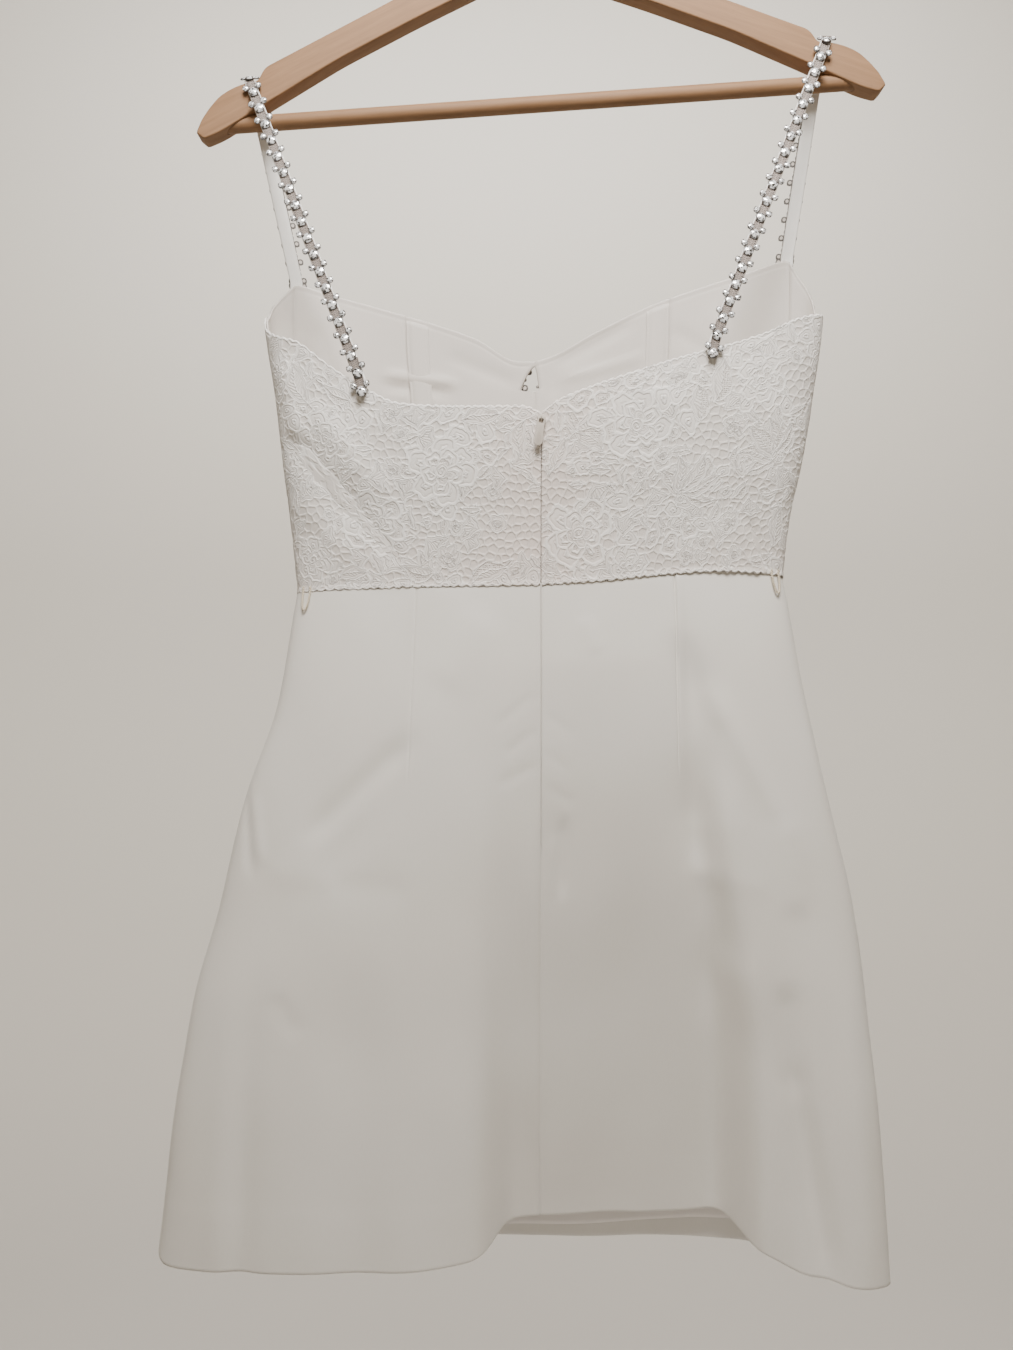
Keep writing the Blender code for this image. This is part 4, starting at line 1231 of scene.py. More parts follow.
# ---------------------------------------------------------------------------------------- bodice
SCALLOP = 4.4
LACE_SINK = 0.5
CLOSE = 0.03
COARSE = 5
PANEL_DROP = 172.0
RASTER_LOW = -486.0
RASTER_HIGH = -250.0
EDGE_CORD_INSET = 0.7
BEYOND_REACH = 9.0
FRONT_BLUSH = 0.35
LINING_COLUMN = 2.6
LINING_ROWS = 56
NOTCH_EASE = 1.06
CASING_THICKNESS = 0.35
CASING_DROP = 3.0
LaceCut = namedtuple("LaceCut", "low high step salt")
LACE_CUTS = {"back": LaceCut(90.0, 180.0, 0.61, 11), "front": LaceCut(0.0, 90.0, 0.84, 21)}


def keyhole_cut(heights, side):
    """How far a front half stands back from the centre front, by height."""
    top = TOP_EDGE[0].left - KEYHOLE_TOP_JOIN
    base = TOP_EDGE[0].left - KEYHOLE_DEPTH
    share = np.clip((top - heights) / (top - base), 0.0, 1.0)
    inside = soft_step((heights - base + 0.6) / 0.6)
    return SEAM + inside * share ** KEYHOLE_BEND * (KEYHOLE_LEFT if side < 0 else KEYHOLE_RIGHT)


def rough_heights(side, along, down):
    """Heights between the top edge and the waist, before the edges are shaped."""
    top = edge_height(TOP_EDGE, degrees_at(side, along))
    foot = edge_height(WAIST_EDGE, degrees_at(side, along))
    return top + (foot - top) * down


def lace_panel(word, side, face, motifs):
    """One lace panel: its ground, motifs, corded edges and small scallops."""
    front = face == "front"
    cut = LACE_CUTS[face]
    salt = cut.salt + side
    start = along_at(side, cut.low)
    finish = along_at(side, cut.high)
    rows = int(PANEL_DROP / cut.step)
    columns = int((finish - start) / cut.step)
    share = np.linspace(0.0, 1.0, columns - columns % COARSE + 1)[None, :]
    down = np.linspace(0.0, 1.0, rows - rows % COARSE + 1)[:, None]
    heights = rough_heights(side, start + (finish - start) * share, down)
    near = keyhole_cut(heights[:, :1], side) if front else SEAM
    far = SEAM if front else ZIP_SLIT / 2
    along = start + near + (finish - start - near - far) * share + 0 * heights
    degrees = degrees_at(side, along)
    from_centre = along if front else finish - along
    wobble = along + 1.3 * np.sin(along / 9.0 + salt)
    curl = np.abs(np.sin(math.pi * wobble / SCALLOP))
    calm = soft_step(np.minimum(share, 1 - share) * (finish - start) / 7.0)
    top = edge_height(TOP_EDGE, degrees) + (0.3 * curl - 0.3 if front else 1.0 * curl * calm + 0.2)
    seam = edge_height(WAIST_EDGE, degrees)
    bottom = seam - 0.5 - 1.1 * np.abs(np.sin(math.pi * wobble / (SCALLOP * 1.35)))
    heights = top + (bottom - top) * down
    grid = bodice_point(degrees, heights)

    lace = Lace(finish - start, RASTER_LOW, RASTER_HIGH, salt)
    lace.draw(motifs, np.random.default_rng(salt))
    relief = lace.at(from_centre, heights)
    rise, line, kind = relief.rise, relief.line, relief.kind
    beside_keyhole = heights > TOP_EDGE[0].left - KEYHOLE_DEPTH
    inner_edge = along - start - near + np.where(beside_keyhole, 0.0, BEYOND_REACH)
    for edge in (heights - bottom, inner_edge if front else top - heights):
        distance = edge - EDGE_CORD_INSET
        cord = lump(distance / CORD)
        rise = np.maximum(rise, 0.35 * cord)
        line = np.minimum(line, np.abs(distance))
        kind = np.where(cord > 0, 0.0, kind)
    lip = soft_step((seam + 2.5 - heights) / 2.5)
    ends = soft_step(np.minimum(along - start - near, finish - far - along) / 1.2)
    rise = rise * (0.35 + 0.65 * ends) * (0.3 + 0.7 * soft_step((top - heights) / 3.0) if front else 1.0)
    normals = outward(grid, side)
    lift = 0.45 * lip + creases("bodice " + face, grid[..., 0], heights)
    if front:
        lift = lift - 0.8 * soft_step((heights - top + 5.0) / 5.0)
    outer = grid + normals * (rise + lift - LACE_SINK)[..., None]
    inner = grid + normals * (1.4 * lip - LACE_THICKNESS)[..., None]
    blush = 0.25 + 0.6 * np.exp(-(from_centre / 40) ** 2) + 0.25 * soft_step((-430 - heights) / 40)
    blush = np.full(heights.shape, FRONT_BLUSH) if front else np.clip(blush, 0, 1)
    values = np.stack([line / LINE_REACH, blush, relief.phase / 100, kind], axis=-1)
    flat = np.stack([along, heights], axis=-1)
    panel(f"lace_{face}_{word}", outer, inner, flat, LACE, "lace", COARSE, values)


def lining_panel(word, side, name, low, high, near, far, notch):
    """One panel of the bodice's smooth lining, a little below the lace's edge."""
    start = along_at(side, low)
    finish = along_at(side, high)
    columns = int((finish - start) / LINING_COLUMN)
    share = np.linspace(0.0, 1.0, columns + 1)[None, :]
    rows_at_top = [0.0, 0.004, 0.009, 0.014, 0.019, 0.024]
    down = np.concatenate([rows_at_top, np.linspace(0.03, 1.0, LINING_ROWS)])[:, None]
    if notch:
        base = KEYHOLE_DEPTH / (TOP_EDGE[0].left - WAIST_EDGE[0].left)
        turn = base + np.array([[-0.0005], [0.0006], [0.0013], [0.0020], [0.0027], [0.0034], [0.0042]])
        down = np.sort(np.vstack([down, turn]), axis=0)
    heights = rough_heights(side, start + (finish - start) * share, down)
    near = CLOSE + (keyhole_cut(heights[:, :1], side) - SEAM) * NOTCH_EASE if notch else near
    along = start + near * (1 - share) ** 3 + (finish - start - far) * share + 0 * heights
    degrees = degrees_at(side, along)
    top = edge_height(TOP_EDGE, degrees) - 0.1
    foot = edge_height(WAIST_EDGE, degrees)
    heights = top + (foot + SEAM - top) * down
    grid = bodice_point(degrees, heights)
    play = np.clip(creases("lining", grid[..., 0], heights), -0.9, 2.2)
    play = play + 0.18 * np.sin(along / 7.0 + heights / 23.0) * np.sin(heights / 31.0)
    groove = 0.22 * np.exp(-((top - heights - 3.0) / 0.7) ** 2)
    outer, inner = layered(grid, side, LINING_DEPTH, LINING_THICKNESS)
    normals = outward(grid, side)
    outer = outer - normals * play[..., None]
    inner = inner - normals * (play - groove)[..., None]
    flat = np.stack([along, heights], axis=-1)
    panel(f"{name}_{word}", outer, inner, flat, DARKENED_LINING, "lining")


def casing(word, side):
    """The stitched casing of a bone, on the lining beside the princess seam."""
    start = along_at(side, PRINCESS_SEAM) - 1.0 - CASING_WIDTH
    share = np.array([0, 0.06, 0.1, 0.14, 0.3, 0.5, 0.7, 0.86, 0.9, 0.94, 1.0])[None, :]
    down = np.linspace(0.0, 1.0, 60)[:, None]
    along = start + CASING_WIDTH * share
    degrees = degrees_at(side, along)
    top = edge_height(TOP_EDGE, degrees) - CASING_DROP
    foot = edge_height(WAIST_EDGE, degrees)
    heights = top + (foot + SEAM - top) * down
    grid = bodice_point(degrees, heights)
    stitch = np.exp(-((np.abs(share - 0.5) - 0.4) / 0.02) ** 2)
    swell = 0.45 * lump(np.clip((share - 0.5) / 0.4, -1, 1)) - 0.15 * stitch
    outer, inner = layered(grid, side, CASING_DEPTH, CASING_THICKNESS)
    inner = inner - outward(grid, side) * np.broadcast_to(swell, heights.shape)[..., None]
    flat = np.stack([np.broadcast_to(along, heights.shape), heights], axis=-1)
    panel(f"boning_casing_{word}", outer, inner, flat, DARKENED_LINING, "lining")


def bodice():
    """Lace, lining and boning casings of the bodice."""
    back = {-1: LACE_BACK_LEFT, 1: LACE_BACK_RIGHT}
    half_tape = ZIP_TAPE_HALF_WIDTH + 2.4
    for side, word in ((-1, "left"), (1, "right")):
        lace_panel(word, side, "back", back[side])
        lace_panel(word, side, "front", LACE_FRONT)
        lining_panel(word, side, "lining_front_centre", 0.0, PRINCESS_SEAM, SEAM, CLOSE, True)
        lining_panel(word, side, "lining_front_side", PRINCESS_SEAM, LINING_SIDE_SEAM, CLOSE, CLOSE, False)
        lining_panel(word, side, "lining_back", LINING_SIDE_SEAM, 180.0, CLOSE, half_tape, False)
        casing(word, side)


# ----------------------------------------------------------------------------------------- skirt
DART_OFFSETS = (-2.6, -1.6, -0.9, -0.4, 0.0, 0.4, 0.9, 1.6, 2.6)
DART_STRENGTH = {-1: 0.5, 1: 1.3}
HEM_DEPTH = 38.0
HEM_RIDGE = 0.12
WAIST_CALM = 0.012
WAIST_HALF_WIDTH = 157.0


def skirt_rows(count):
    """Levels down the skirt, closer together at the waist and the hem."""
    return np.concatenate([[0.0, 0.003], np.linspace(0.008, 0.985, count), [0.991, 0.996, 1.0]])


def unevenness(first, second, salt, amount, wavelength):
    """Slow small waves of cloth that was pressed by hand."""
    random = np.random.default_rng(salt)
    total = np.zeros(np.broadcast(first, second).shape)
    for _ in range(9):
        turn, start = random.uniform(0, math.pi), random.uniform(0, 2 * math.pi)
        length = wavelength * random.uniform(0.6, 1.8)
        way = first * math.cos(turn) + second * math.sin(turn)
        total = total + np.sin(2 * math.pi * way / length + start)
    return amount * total / 3


def dart_across(dart, level):
    """Where a dart lies at some level."""
    return dart.side * (dart.waist + (dart.tip - dart.waist) * np.minimum(level / DART_END, 1.0))


def skirt_back(word, side):
    """One half of the skirt's back, with its dart and its creases."""
    dart = DARTS[0] if side < 0 else DARTS[1]
    even = even_degrees(side * 90.0, side * 180.0, 90, hem_ring)
    tip = dart_across(dart, DART_END)
    reach = half_width(DART_END, side)
    at_tip = side * (180.0 - math.degrees(math.asin(abs(tip) / reach)))
    extra = at_tip + np.degrees(np.array(DART_OFFSETS) / reach)
    clear = np.min(np.abs(even[:, None] - extra[None, :]), axis=1) > 0.12
    clear[[0, -1]] = True
    columns = np.sort(np.concatenate([even[clear], extra]))
    columns = columns[:: side]
    down = skirt_rows(150)
    degrees = []
    for level in down:
        place = abs(dart_across(dart, level)) / half_width(level, side)
        here = side * (180.0 - math.degrees(math.asin(float(place))))
        anchors = [90.0, abs(at_tip), 180.0]
        degrees.append(side * np.interp(np.abs(columns), anchors, [90.0, abs(here), 180.0]))
    degrees = np.array(degrees)
    levels = np.broadcast_to(down[:, None], degrees.shape)
    grid = skirt_point(degrees, levels, 1.0)
    across, heights = grid[..., 0], grid[..., 2]
    away = (across - dart_across(dart, levels)) * side
    fade = soft_step((DART_END - levels) / 0.05)
    groove = 1.0 * np.exp(-(away / 0.6) ** 2) - 0.5 * np.exp(-((away - 2.2) / 2.2) ** 2)
    inwards = groove * fade * DART_STRENGTH[side]
    inwards = inwards + unevenness(across, heights * 0.6, 31 + side, 0.28, 60)
    opening = SEAM + (ZIP_SLIT / 2 - SEAM) * soft_step((heights[:, -1] - ZIP_END + 20) / 20)
    satin_panel(f"skirt_back_{word}", grid, degrees, levels, side, inwards, opening)


def skirt_front():
    """The skirt's front, one piece from side seam to side seam."""
    columns = even_degrees(-90.0, 90.0, 124, hem_ring)
    down = skirt_rows(104)[:, None]
    grid = skirt_point(columns, down, 1.0)
    inwards = unevenness(grid[..., 0], grid[..., 2] * 0.6, 41, 0.35, 70)
    satin_panel("skirt_front", grid, columns, down, 1, inwards, SEAM)


def satin_panel(name, grid, degrees, levels, side, inwards, opening):
    """A panel of the skirt on its grid, moved in by its unevenness and out at the turned hem."""
    hem = edge_height(HEM_EDGE, degrees)
    inwards = inwards - HEM_RIDGE * soft_step((HEM_DEPTH - (grid[..., 2] - hem)) / 5.0)
    inwards = inwards * soft_step(levels / WAIST_CALM)
    shaped = grid - outward(grid, side) * inwards[..., None]
    shaped = pulled_back(shaped, SEAM, opening, SEAM)
    outer, inner = layered(shaped, side, 0.0, SATIN_THICKNESS)
    panel(name, outer, inner, flat_of(grid), SATIN, "satin")


def skirt_lining(name, side, low, high, count):
    """One panel of the skirt's lining, which stops short of the hem and parts at the zip."""
    columns = even_degrees(low, high, count, hem_ring)
    length = edge_height(WAIST_EDGE, columns) - edge_height(HEM_EDGE, columns)
    lift = 12.0 - 2.5 * np.cos(np.radians(columns)) + 6.0 * np.exp(-((columns - 38.0) / 20.0) ** 2)
    down = np.concatenate([np.linspace(0.0, 0.97, 60), [0.98, 0.988, 0.994, 1.0]])[:, None]
    levels = down * (1 - lift / length)
    heights = skirt_point(180.0, levels[:, :1])[..., 2]
    ease = soft_step((heights - ZIP_END + 60.0) / 60.0)
    opening = SEAM + (ZIP_TAPE_HALF_WIDTH + 0.5 - SEAM) * ease
    parted = np.degrees(opening / WAIST_HALF_WIDTH)
    away = np.maximum(np.abs(columns) - 90.0, 0.0) / 90.0
    grid = skirt_point(columns - np.sign(columns) * parted * away, levels, 1.0)
    play = unevenness(grid[..., 0], grid[..., 2] * 0.5, 51 + side, 0.5, 55)
    hem_way = grid[..., 2] - grid[-1:, :, 2]
    play = play + 0.3 * np.exp(-((hem_way - 9.0) / 1.0) ** 2) * np.sin(grid[..., 0] / 3.1)
    play = np.maximum(play, -0.3)
    shaped = grid - outward(grid, side) * play[..., None]
    shaped = pulled_back(shaped, SEAM, SEAM, 1.0)
    outer, inner = layered(shaped, side, SKIRT_LINING_DEPTH + 0.3, LINING_THICKNESS)
    panel(name, outer, inner, flat_of(grid), BRIGHTENED_SKIRT_LINING, "lining")


def skirt():
    """The skirt and its lining."""
    skirt_front()
    skirt_lining("skirt_lining_front", 1, -90.0, 90.0, 90)
    for side, word in ((-1, "left"), (1, "right")):
        skirt_back(word, side)
        skirt_lining(f"skirt_lining_back_{word}", side, side * 90.0, side * 180.0, 60)


# ------------------------------------------------------------------------------------------- zip
TAPE_TOP = -376.0
TAPE_END_LEVEL = 0.39
TAPE_THICKNESS = 0.8
TOOTH_PITCH = 1.5
TOOTH_RADIUS = 0.45


def beside_centre_back(offset, surface, row):
    """The point of a surface's row that lies some way across from the centre back."""
    side = 1.0 if offset >= 0 else -1.0
    half = abs(float(surface(side * 90.0, row)[0]))
    return surface(side * (180.0 - math.degrees(math.asin(abs(offset) / half))), row)


def zip_tape():
    """The closed zip's tape behind the slit, and the teeth on its inner side."""
    offsets = np.linspace(1.0, -1.0, 15) * ZIP_TAPE_HALF_WIDTH
    rows = []
    for height in np.linspace(TAPE_TOP, -474.0, 40):
        rows.append([beside_centre_back(offset, bodice_point, height) for offset in offsets])
    for level in np.linspace(0.02, TAPE_END_LEVEL, 60):
        rows.append([beside_centre_back(offset, skirt_point, level) for offset in offsets])
    grid = np.array(rows)
    outer, inner = layered(grid, 1, SATIN_THICKNESS + 1.0, TAPE_THICKNESS)
    panel("zip_tape", outer, inner, flat_of(grid), TAPE, "zip_cloth")

    middle = inner[:, 7]
    lengths = lengths_along(middle)
    teeth = []
    for number in range(int((lengths[-1] - 6.0) / TOOTH_PITCH)):
        place = 3.0 + number * TOOTH_PITCH
        centre = at_lengths(place, lengths, middle)
        lean = 0.4 if number % 2 else -0.4
        ends = [(-2.4, 0.1, 0.0), (-1.9, 0.8, 0.0), (0.0, 1.1, lean), (1.9, 0.8, 0.0), (2.4, 0.1, 0.0)]
        line = [centre + NECK_MOVE + np.array([x, y, z]) for x, y, z in ends]
        teeth.append(tube_of(line, TOOTH_RADIUS, 6))
    points, faces = joined(teeth)
    seated(build("zip_teeth", points, faces, ZIP_METAL), "zip_metal")


def at_depth(outline, depth):
    """A flat outline, across and height, held at one depth."""
    return np.stack([outline[:, 0], np.full(len(outline), depth), outline[:, 1]], axis=1)


def rounded_plate(outline, inner, low, high, soft):
    """A flat plate along Y with softened edges; with an inner outline it is a ring."""
    outline = resampled(outline, 56, closed=True)
    centre = outline.mean(axis=0)
    rings = []
    for depth, inset in ((low, soft), (low + soft * 0.3, soft * 0.3), (low + soft, 0.0),
                         (high - soft, 0.0), (high - soft * 0.3, soft * 0.3), (high, soft)):
        ahead = unit(np.roll(outline, -1, axis=0) - np.roll(outline, 1, axis=0))
        aside = np.stack([-ahead[:, 1], ahead[:, 0]], axis=1)
        flip = np.sign(np.sum(aside * (centre - outline), axis=1, keepdims=True).sum())
        rings.append(at_depth(outline + aside * flip * inset, depth))
    if inner is not None:
        hole = resampled(inner, 56, closed=True)
        for depth in (high, low):
            rings.append(at_depth(hole, depth))
    points, faces = stacked(rings, closed=inner is not None)
    return points, turned_out(faces, points)


SLIDER_RADIUS = 2.6
SLIDER_STRETCH = 2.3
SLIDER_THICKNESS = 1.2
BAIL_RADIUS = 1.6


def arc(first, last, count, radius):
    """Points of an arc round its own centre, from one angle to another, in degrees."""
    angles = np.radians(np.linspace(first, last, count))
    return [(radius * math.cos(angle), radius * math.sin(angle)) for angle in angles]


def zip_slider_and_pull():
    """The slider, whose bail holds the crossbar of the teardrop pull."""
    surface = float(bodice_point(180.0, PULL_PIVOT_HEIGHT - 2.0)[1]) - 0.6
    plate_front = surface - SLIDER_THICKNESS
    pivot_depth = plate_front - 1.1
    centre = np.array([NECK_SHIFT, PULL_PIVOT_HEIGHT])
    plate = []
    for x, z in arc(0, 350, 36, SLIDER_RADIUS):
        plate.append(centre + (x, z - (SLIDER_STRETCH if z < 0 else 0.0)))
    bail = [(NECK_SHIFT, pivot_depth - out, centre[1] + up) for up, out in arc(0, 180, 13, BAIL_RADIUS)]
    head, foot = [(NECK_SHIFT, pivot_depth + 1.3, bail[end][2]) for end in (0, -1)]
    bail = [head, *bail, foot]
    points, faces = joined([rounded_plate(plate, None, plate_front, surface, 0.35), tube_of(bail, 0.4, 10)])
    seated(build("zip_slider", points, faces, ZIP_METAL, sharp=40), "zip_metal", "zip_slider")

    radius = PULL_WIDTH / 2
    bottom = PULL_LENGTH - 0.6 - radius
    outline = [(-2.1, 0.6), (2.1, 0.6), (2.4, 0.3), (2.4, -4.5)]
    outline += [(x, z - bottom) for x, z in arc(12, -192, 25, radius)]
    outline += [(-2.4, -4.5), (-2.4, 0.3)]
    eye = [(-1.2, -0.6), (1.2, -0.6), (1.4, -0.8), (1.4, -3.2)]
    eye += [(-x, -4.0 - z) for x, z in eye]
    lean = math.radians(PULL_LEAN)
    turn = np.array([[math.cos(lean), -math.sin(lean)], [math.sin(lean), math.cos(lean)]])
    outline = [centre + np.array(place) @ turn for place in outline]
    eye = [centre + np.array(place) @ turn for place in eye]
    points, faces = rounded_plate(outline, eye, pivot_depth - 0.5, pivot_depth + 0.5, 0.22)
    pull = build("zip_pull", points, faces, ZIP_METAL, sharp=25)
    seated(pull, "zip_metal", "zip_pull", body="zip_pull")


# ------------------------------------------------------------------------- straps and their trim
def on_hanger(across, depth, height):
    """A point of the hanger's own frame, after the hanger has tilted about its hook."""
    cosine = math.cos(HANGER_TILT)
    sine = math.sin(HANGER_TILT)
    return np.array([across * cosine - height * sine, depth, across * sine + height * cosine])


def surface_frame(degrees, below):
    """Point, tangent round the dress and normal of the bodice, some way below its top edge."""
    height = float(edge_height(TOP_EDGE, np.array(degrees))) - below
    point = bodice_point(degrees, height) + NECK_MOVE
    tangent = unit(bodice_point(degrees + 0.5, height) - bodice_point(degrees - 0.5, height))
    return point, tangent, np.cross(tangent, np.array([0.0, 0.0, -1.0]))


def strap_route(side, lift):
    """Stations of a strap: points that lie lift above its seats, and its width directions."""
    flat = on_hanger(1.0, 0.0, 0.0)
    half = HANGER_THICKNESS / 2
    seat_across, seat_height = STRAP_SEAT
    points = []
    widths = []
    for below in (STRAP_OVERLAP, -STRAP_OVERLAP):
        back, tangent, normal = surface_frame(side * BACK_STRAP[side], below)
        points.append(back + normal * (lift + 0.9))
        widths.append(-tangent)
    for corner, start in ((-half, math.pi), (half, math.pi / 2)):
        for step in range(8):
            angle = start - math.pi / 2 * step / 7
            depth = corner + (lift + 0.3) * math.cos(angle)
            height = seat_height + (lift + 0.3) * math.sin(angle)
            points.append(on_hanger(side * seat_across, depth, height))
            widths.append(flat)
    for below in (-STRAP_OVERLAP, STRAP_OVERLAP):
        front, tangent, normal = surface_frame(side * FRONT_STRAP, below)
        points.append(front + normal * (lift + 0.9))
        widths.append(tangent)
    return np.array(points), np.array(widths)


def along_route(points, widths, spacing):
    """The route with stations at equal spacing, and unit directions at each."""
    along = lengths_along(points)
    count = int(round(along[-1] / spacing))
    stations = np.linspace(0.0, along[-1], count + 1)
    place = at_lengths(stations, along, points)
    width = at_lengths(stations, along, widths)
    way = unit(np.gradient(place, stations, axis=0))
    width = unit(width - way * np.sum(width * way, axis=1, keepdims=True))
    return stations, place, width, np.cross(width, way), way


def ribbon(side, word):
    """The satin ribbon of one strap, with softly rolled edges."""
    points, widths = strap_route(side, RIBBON_THICKNESS / 2)
    stations, place, width, out, _ = along_route(points, widths, 1.6)
    share = np.linspace(-1.0, 1.0, 11)
    forward = soft_step(place[:, 1] / HANGER_THICKNESS + 0.5)
    half = (BACK_RIBBON_WIDTH + (RIBBON_WIDTH - BACK_RIBBON_WIDTH) * forward) / 2 - 0.2
    sway = 0.12 * np.sin(stations / 11.0 + side)[:, None]
    rise = 0.38 + 0.10 * (np.abs(share) > 0.75) + sway
    across = place[:, None] + width[:, None] * (share * half[:, None])[..., None]
    face = across + out[:, None] * rise[..., None]
    back = across - out[:, None] * (0.76 - rise)[..., None]
    flat = np.stack(np.meshgrid(share * RIBBON_WIDTH / 2, stations), axis=-1)
    piece = cloth(f"strap_ribbon_{word}", face - NECK_MOVE, back - NECK_MOVE, flat, RIBBON)
    seated(piece, "ribbon", f"strap_ribbon_{word}")


CUP_SIDES = 12
FOIL_SHARE = 0.5


def circle(centre, radius, rise, sides, turn=0.0):
    """Points of a level ring some way above a centre."""
    x, y, base = centre
    angles = np.linspace(0, 2 * np.pi, sides, endpoint=False) + turn
    return [(x + radius * math.cos(a), y + radius * math.sin(a), base + rise) for a in angles]


def band(low, top):
    """Four-sided facets between two rings with as many points each."""
    return [list(facet) for facet in zip(low, low[1:] + low[:1], top[1:] + top[:1], top)]


def stone(centre, radius, high, sides, turn):
    """Flat facets of a cut stone: a table, a crown and a short girdle. Each has its own corners."""
    rings = []
    crown = 0.7
    for share, rise in ((1.0, 0.0), (1.0, 0.25), (0.8, crown), (0.48, 1.0)):
        shift = math.pi / sides if rise == crown else 0.0
        rings.append(circle(centre, radius * share, high * rise, sides, turn + shift))
    facets = band(rings[0], rings[1])
    for side in range(sides):
        beside = (side + 1) % sides
        facets.append([rings[1][side], rings[1][beside], rings[2][side]])
        facets.append([rings[1][beside], rings[2][beside], rings[2][side]])
        facets.append([rings[2][side], rings[2][beside], rings[3][beside]])
        facets.append([rings[2][side], rings[3][beside], rings[3][side]])
    peak = (centre[0], centre[1], centre[2] + high * 1.22)
    for side in range(sides):
        facets.append([rings[3][side], rings[3][(side + 1) % sides], peak])
    facets.append(list(reversed(rings[0])))
    return facets


def cup(centre, radius, high):
    """A stone's metal cup with a flat back and four prongs that bend over the stone."""
    low = circle(centre, radius * 0.92, 0.0, CUP_SIDES)
    top = circle(centre, radius, high, CUP_SIDES)
    facets = band(low, top) + band(circle(centre, radius * FOIL_SHARE, 0.0, CUP_SIDES), low) + [top]
    for quarter in range(4):
        angle = math.pi / 4 + quarter * math.pi / 2
        way = np.array([math.cos(angle), math.sin(angle), 0.0])
        aside = np.array([-way[1], way[0], 0.0]) * radius * 0.16
        inner = way * radius * 0.14
        foot, neck, tip = [
            [spot - aside, spot + aside, spot + aside - inner, spot - aside - inner]
            for spot in (np.array(centre) + [0.0, 0.0, high * rise] + way * radius * share
                         for rise, share in ((0.5, 1.0), (1.5, 1.04), (2.2, 0.74)))
        ]
        facets += band(foot, neck) + band(neck, tip) + [tip]
    return facets


def foil(centre, radius):
    """The light back of a stone, seen through the open back of its cup."""
    return [circle(centre, radius * FOIL_SHARE, 0.0, CUP_SIDES)[::-1]]


def bar_facets(start, end, half, high):
    """A short flat metal link."""
    start = np.array(start, float)
    end = np.array(end, float)
    way = unit(end - start)
    aside = np.array([-way[1], way[0], 0.0]) * half
    up = np.array([0.0, 0.0, high])
    low = [start - aside, start + aside, end + aside, end - aside]
    top = [corner + up for corner in low]
    return [top, low[::-1]] + band(low, top)


def set_stone(x, y, setting, random):
    """A stone, its cup and its light back."""
    centre = (x, y, 0.0)
    facets = stone((x, y, setting.deep), setting.stone, setting.high, setting.sides, random.uniform(0, 1))
    return [("cup", cup(centre, setting.cup, setting.deep)), ("foil", foil(centre, setting.cup)),
            ("stone", facets)]


Setting = namedtuple("Setting", "cup deep stone high sides")
LARGE_STONE = Setting(3.3, 0.9, 3.15, 1.2, 8)
SMALL_STONE = Setting(2.15, 0.6, 2.05, 0.85, 6)


def cluster(random):
    """One set of stones, a large one and two small ones above it, and the mesh band to the next."""
    pieces = set_stone(0.0, 0.0, LARGE_STONE, random)
    pieces.append(("mesh", bar_facets((0.0, 2.0, 0.0), (0.0, 10.0, 0.0), 2.9, 0.3)))
    for side in (-1, 1):
        pieces += set_stone(side * 4.1, 4.3, SMALL_STONE, random)
        pieces.append(("cup", bar_facets((side * 1.8, 2.0, 0.1), (side * 3.4, 3.6, 0.1), 0.45, 0.6)))
    for lean in (-0.7, 0.7):
        for along in 2.6 + 1.2 * np.arange(6):
            ends = ((-2.8, along - lean, 0.3), (2.8, along + lean, 0.3))
            pieces.append(("wire", bar_facets(*ends, 0.16, 0.22)))
    for across in (-2.8, 0.0, 2.8):
        pieces.append(("wire", bar_facets((across, 2.4, 0.25), (across, 9.6, 0.25), 0.2, 0.3)))
    return pieces


# Painted reflections of the facets: each stone facet gets one of these tones at random, bright ones most
# often; an alpha of 1 lets it glow.
STONE_GLINT_TONES = ((1.0, 1.0, 1.0), (0.55, 0.55, 0.55), (0.16, 0.155, 0.15), (0.03, 0.028, 0.025))
STONE_SHARES = (0.62, 0.13, 0.10, 0.15)
METAL_TONES = {"cup": (0.07, 0.058, 0.05), "mesh": (0.10, 0.08, 0.068), "wire": (0.36, 0.30, 0.265),
               "foil": (0.55, 0.5, 0.45)}


def placed(pieces, frame_of, random):
    """Facets moved on to a strap or an edge, and the tone of each corner: a painted reflection on stone
    facets, the metal's colour elsewhere.
    """
    corners = []
    tones = []
    faces = []
    for kind, facets in pieces:
        for facet in facets:
            # A stone facet's tone is a painted reflection, bright or dark by chance.
            if kind == "stone":
                tone = STONE_GLINT_TONES[random.choice(len(STONE_GLINT_TONES), p=STONE_SHARES)]
            else:
                tone = METAL_TONES[kind]
            start = len(corners)
            for across, along, high in facet:
                corners.append(frame_of(across, along, high))
                tones.append((*tone, 1.0 if kind == "stone" else 0.0))
            faces.append(tuple(range(start, len(corners))))
    return corners, tones, faces


def crystal_object(name, sets, node):
    """All the stones of one trim as one piece."""
    corners = []
    tones = []
    faces = []
    for some_corners, some_tones, some_faces in sets:
        start = len(corners)
        corners += some_corners
        tones += some_tones
        faces += [tuple(index + start for index in face) for face in some_faces]
    piece = build(name, np.array(corners), faces, CRYSTAL, None, tones, 0)
    seated(piece, "crystal", node)


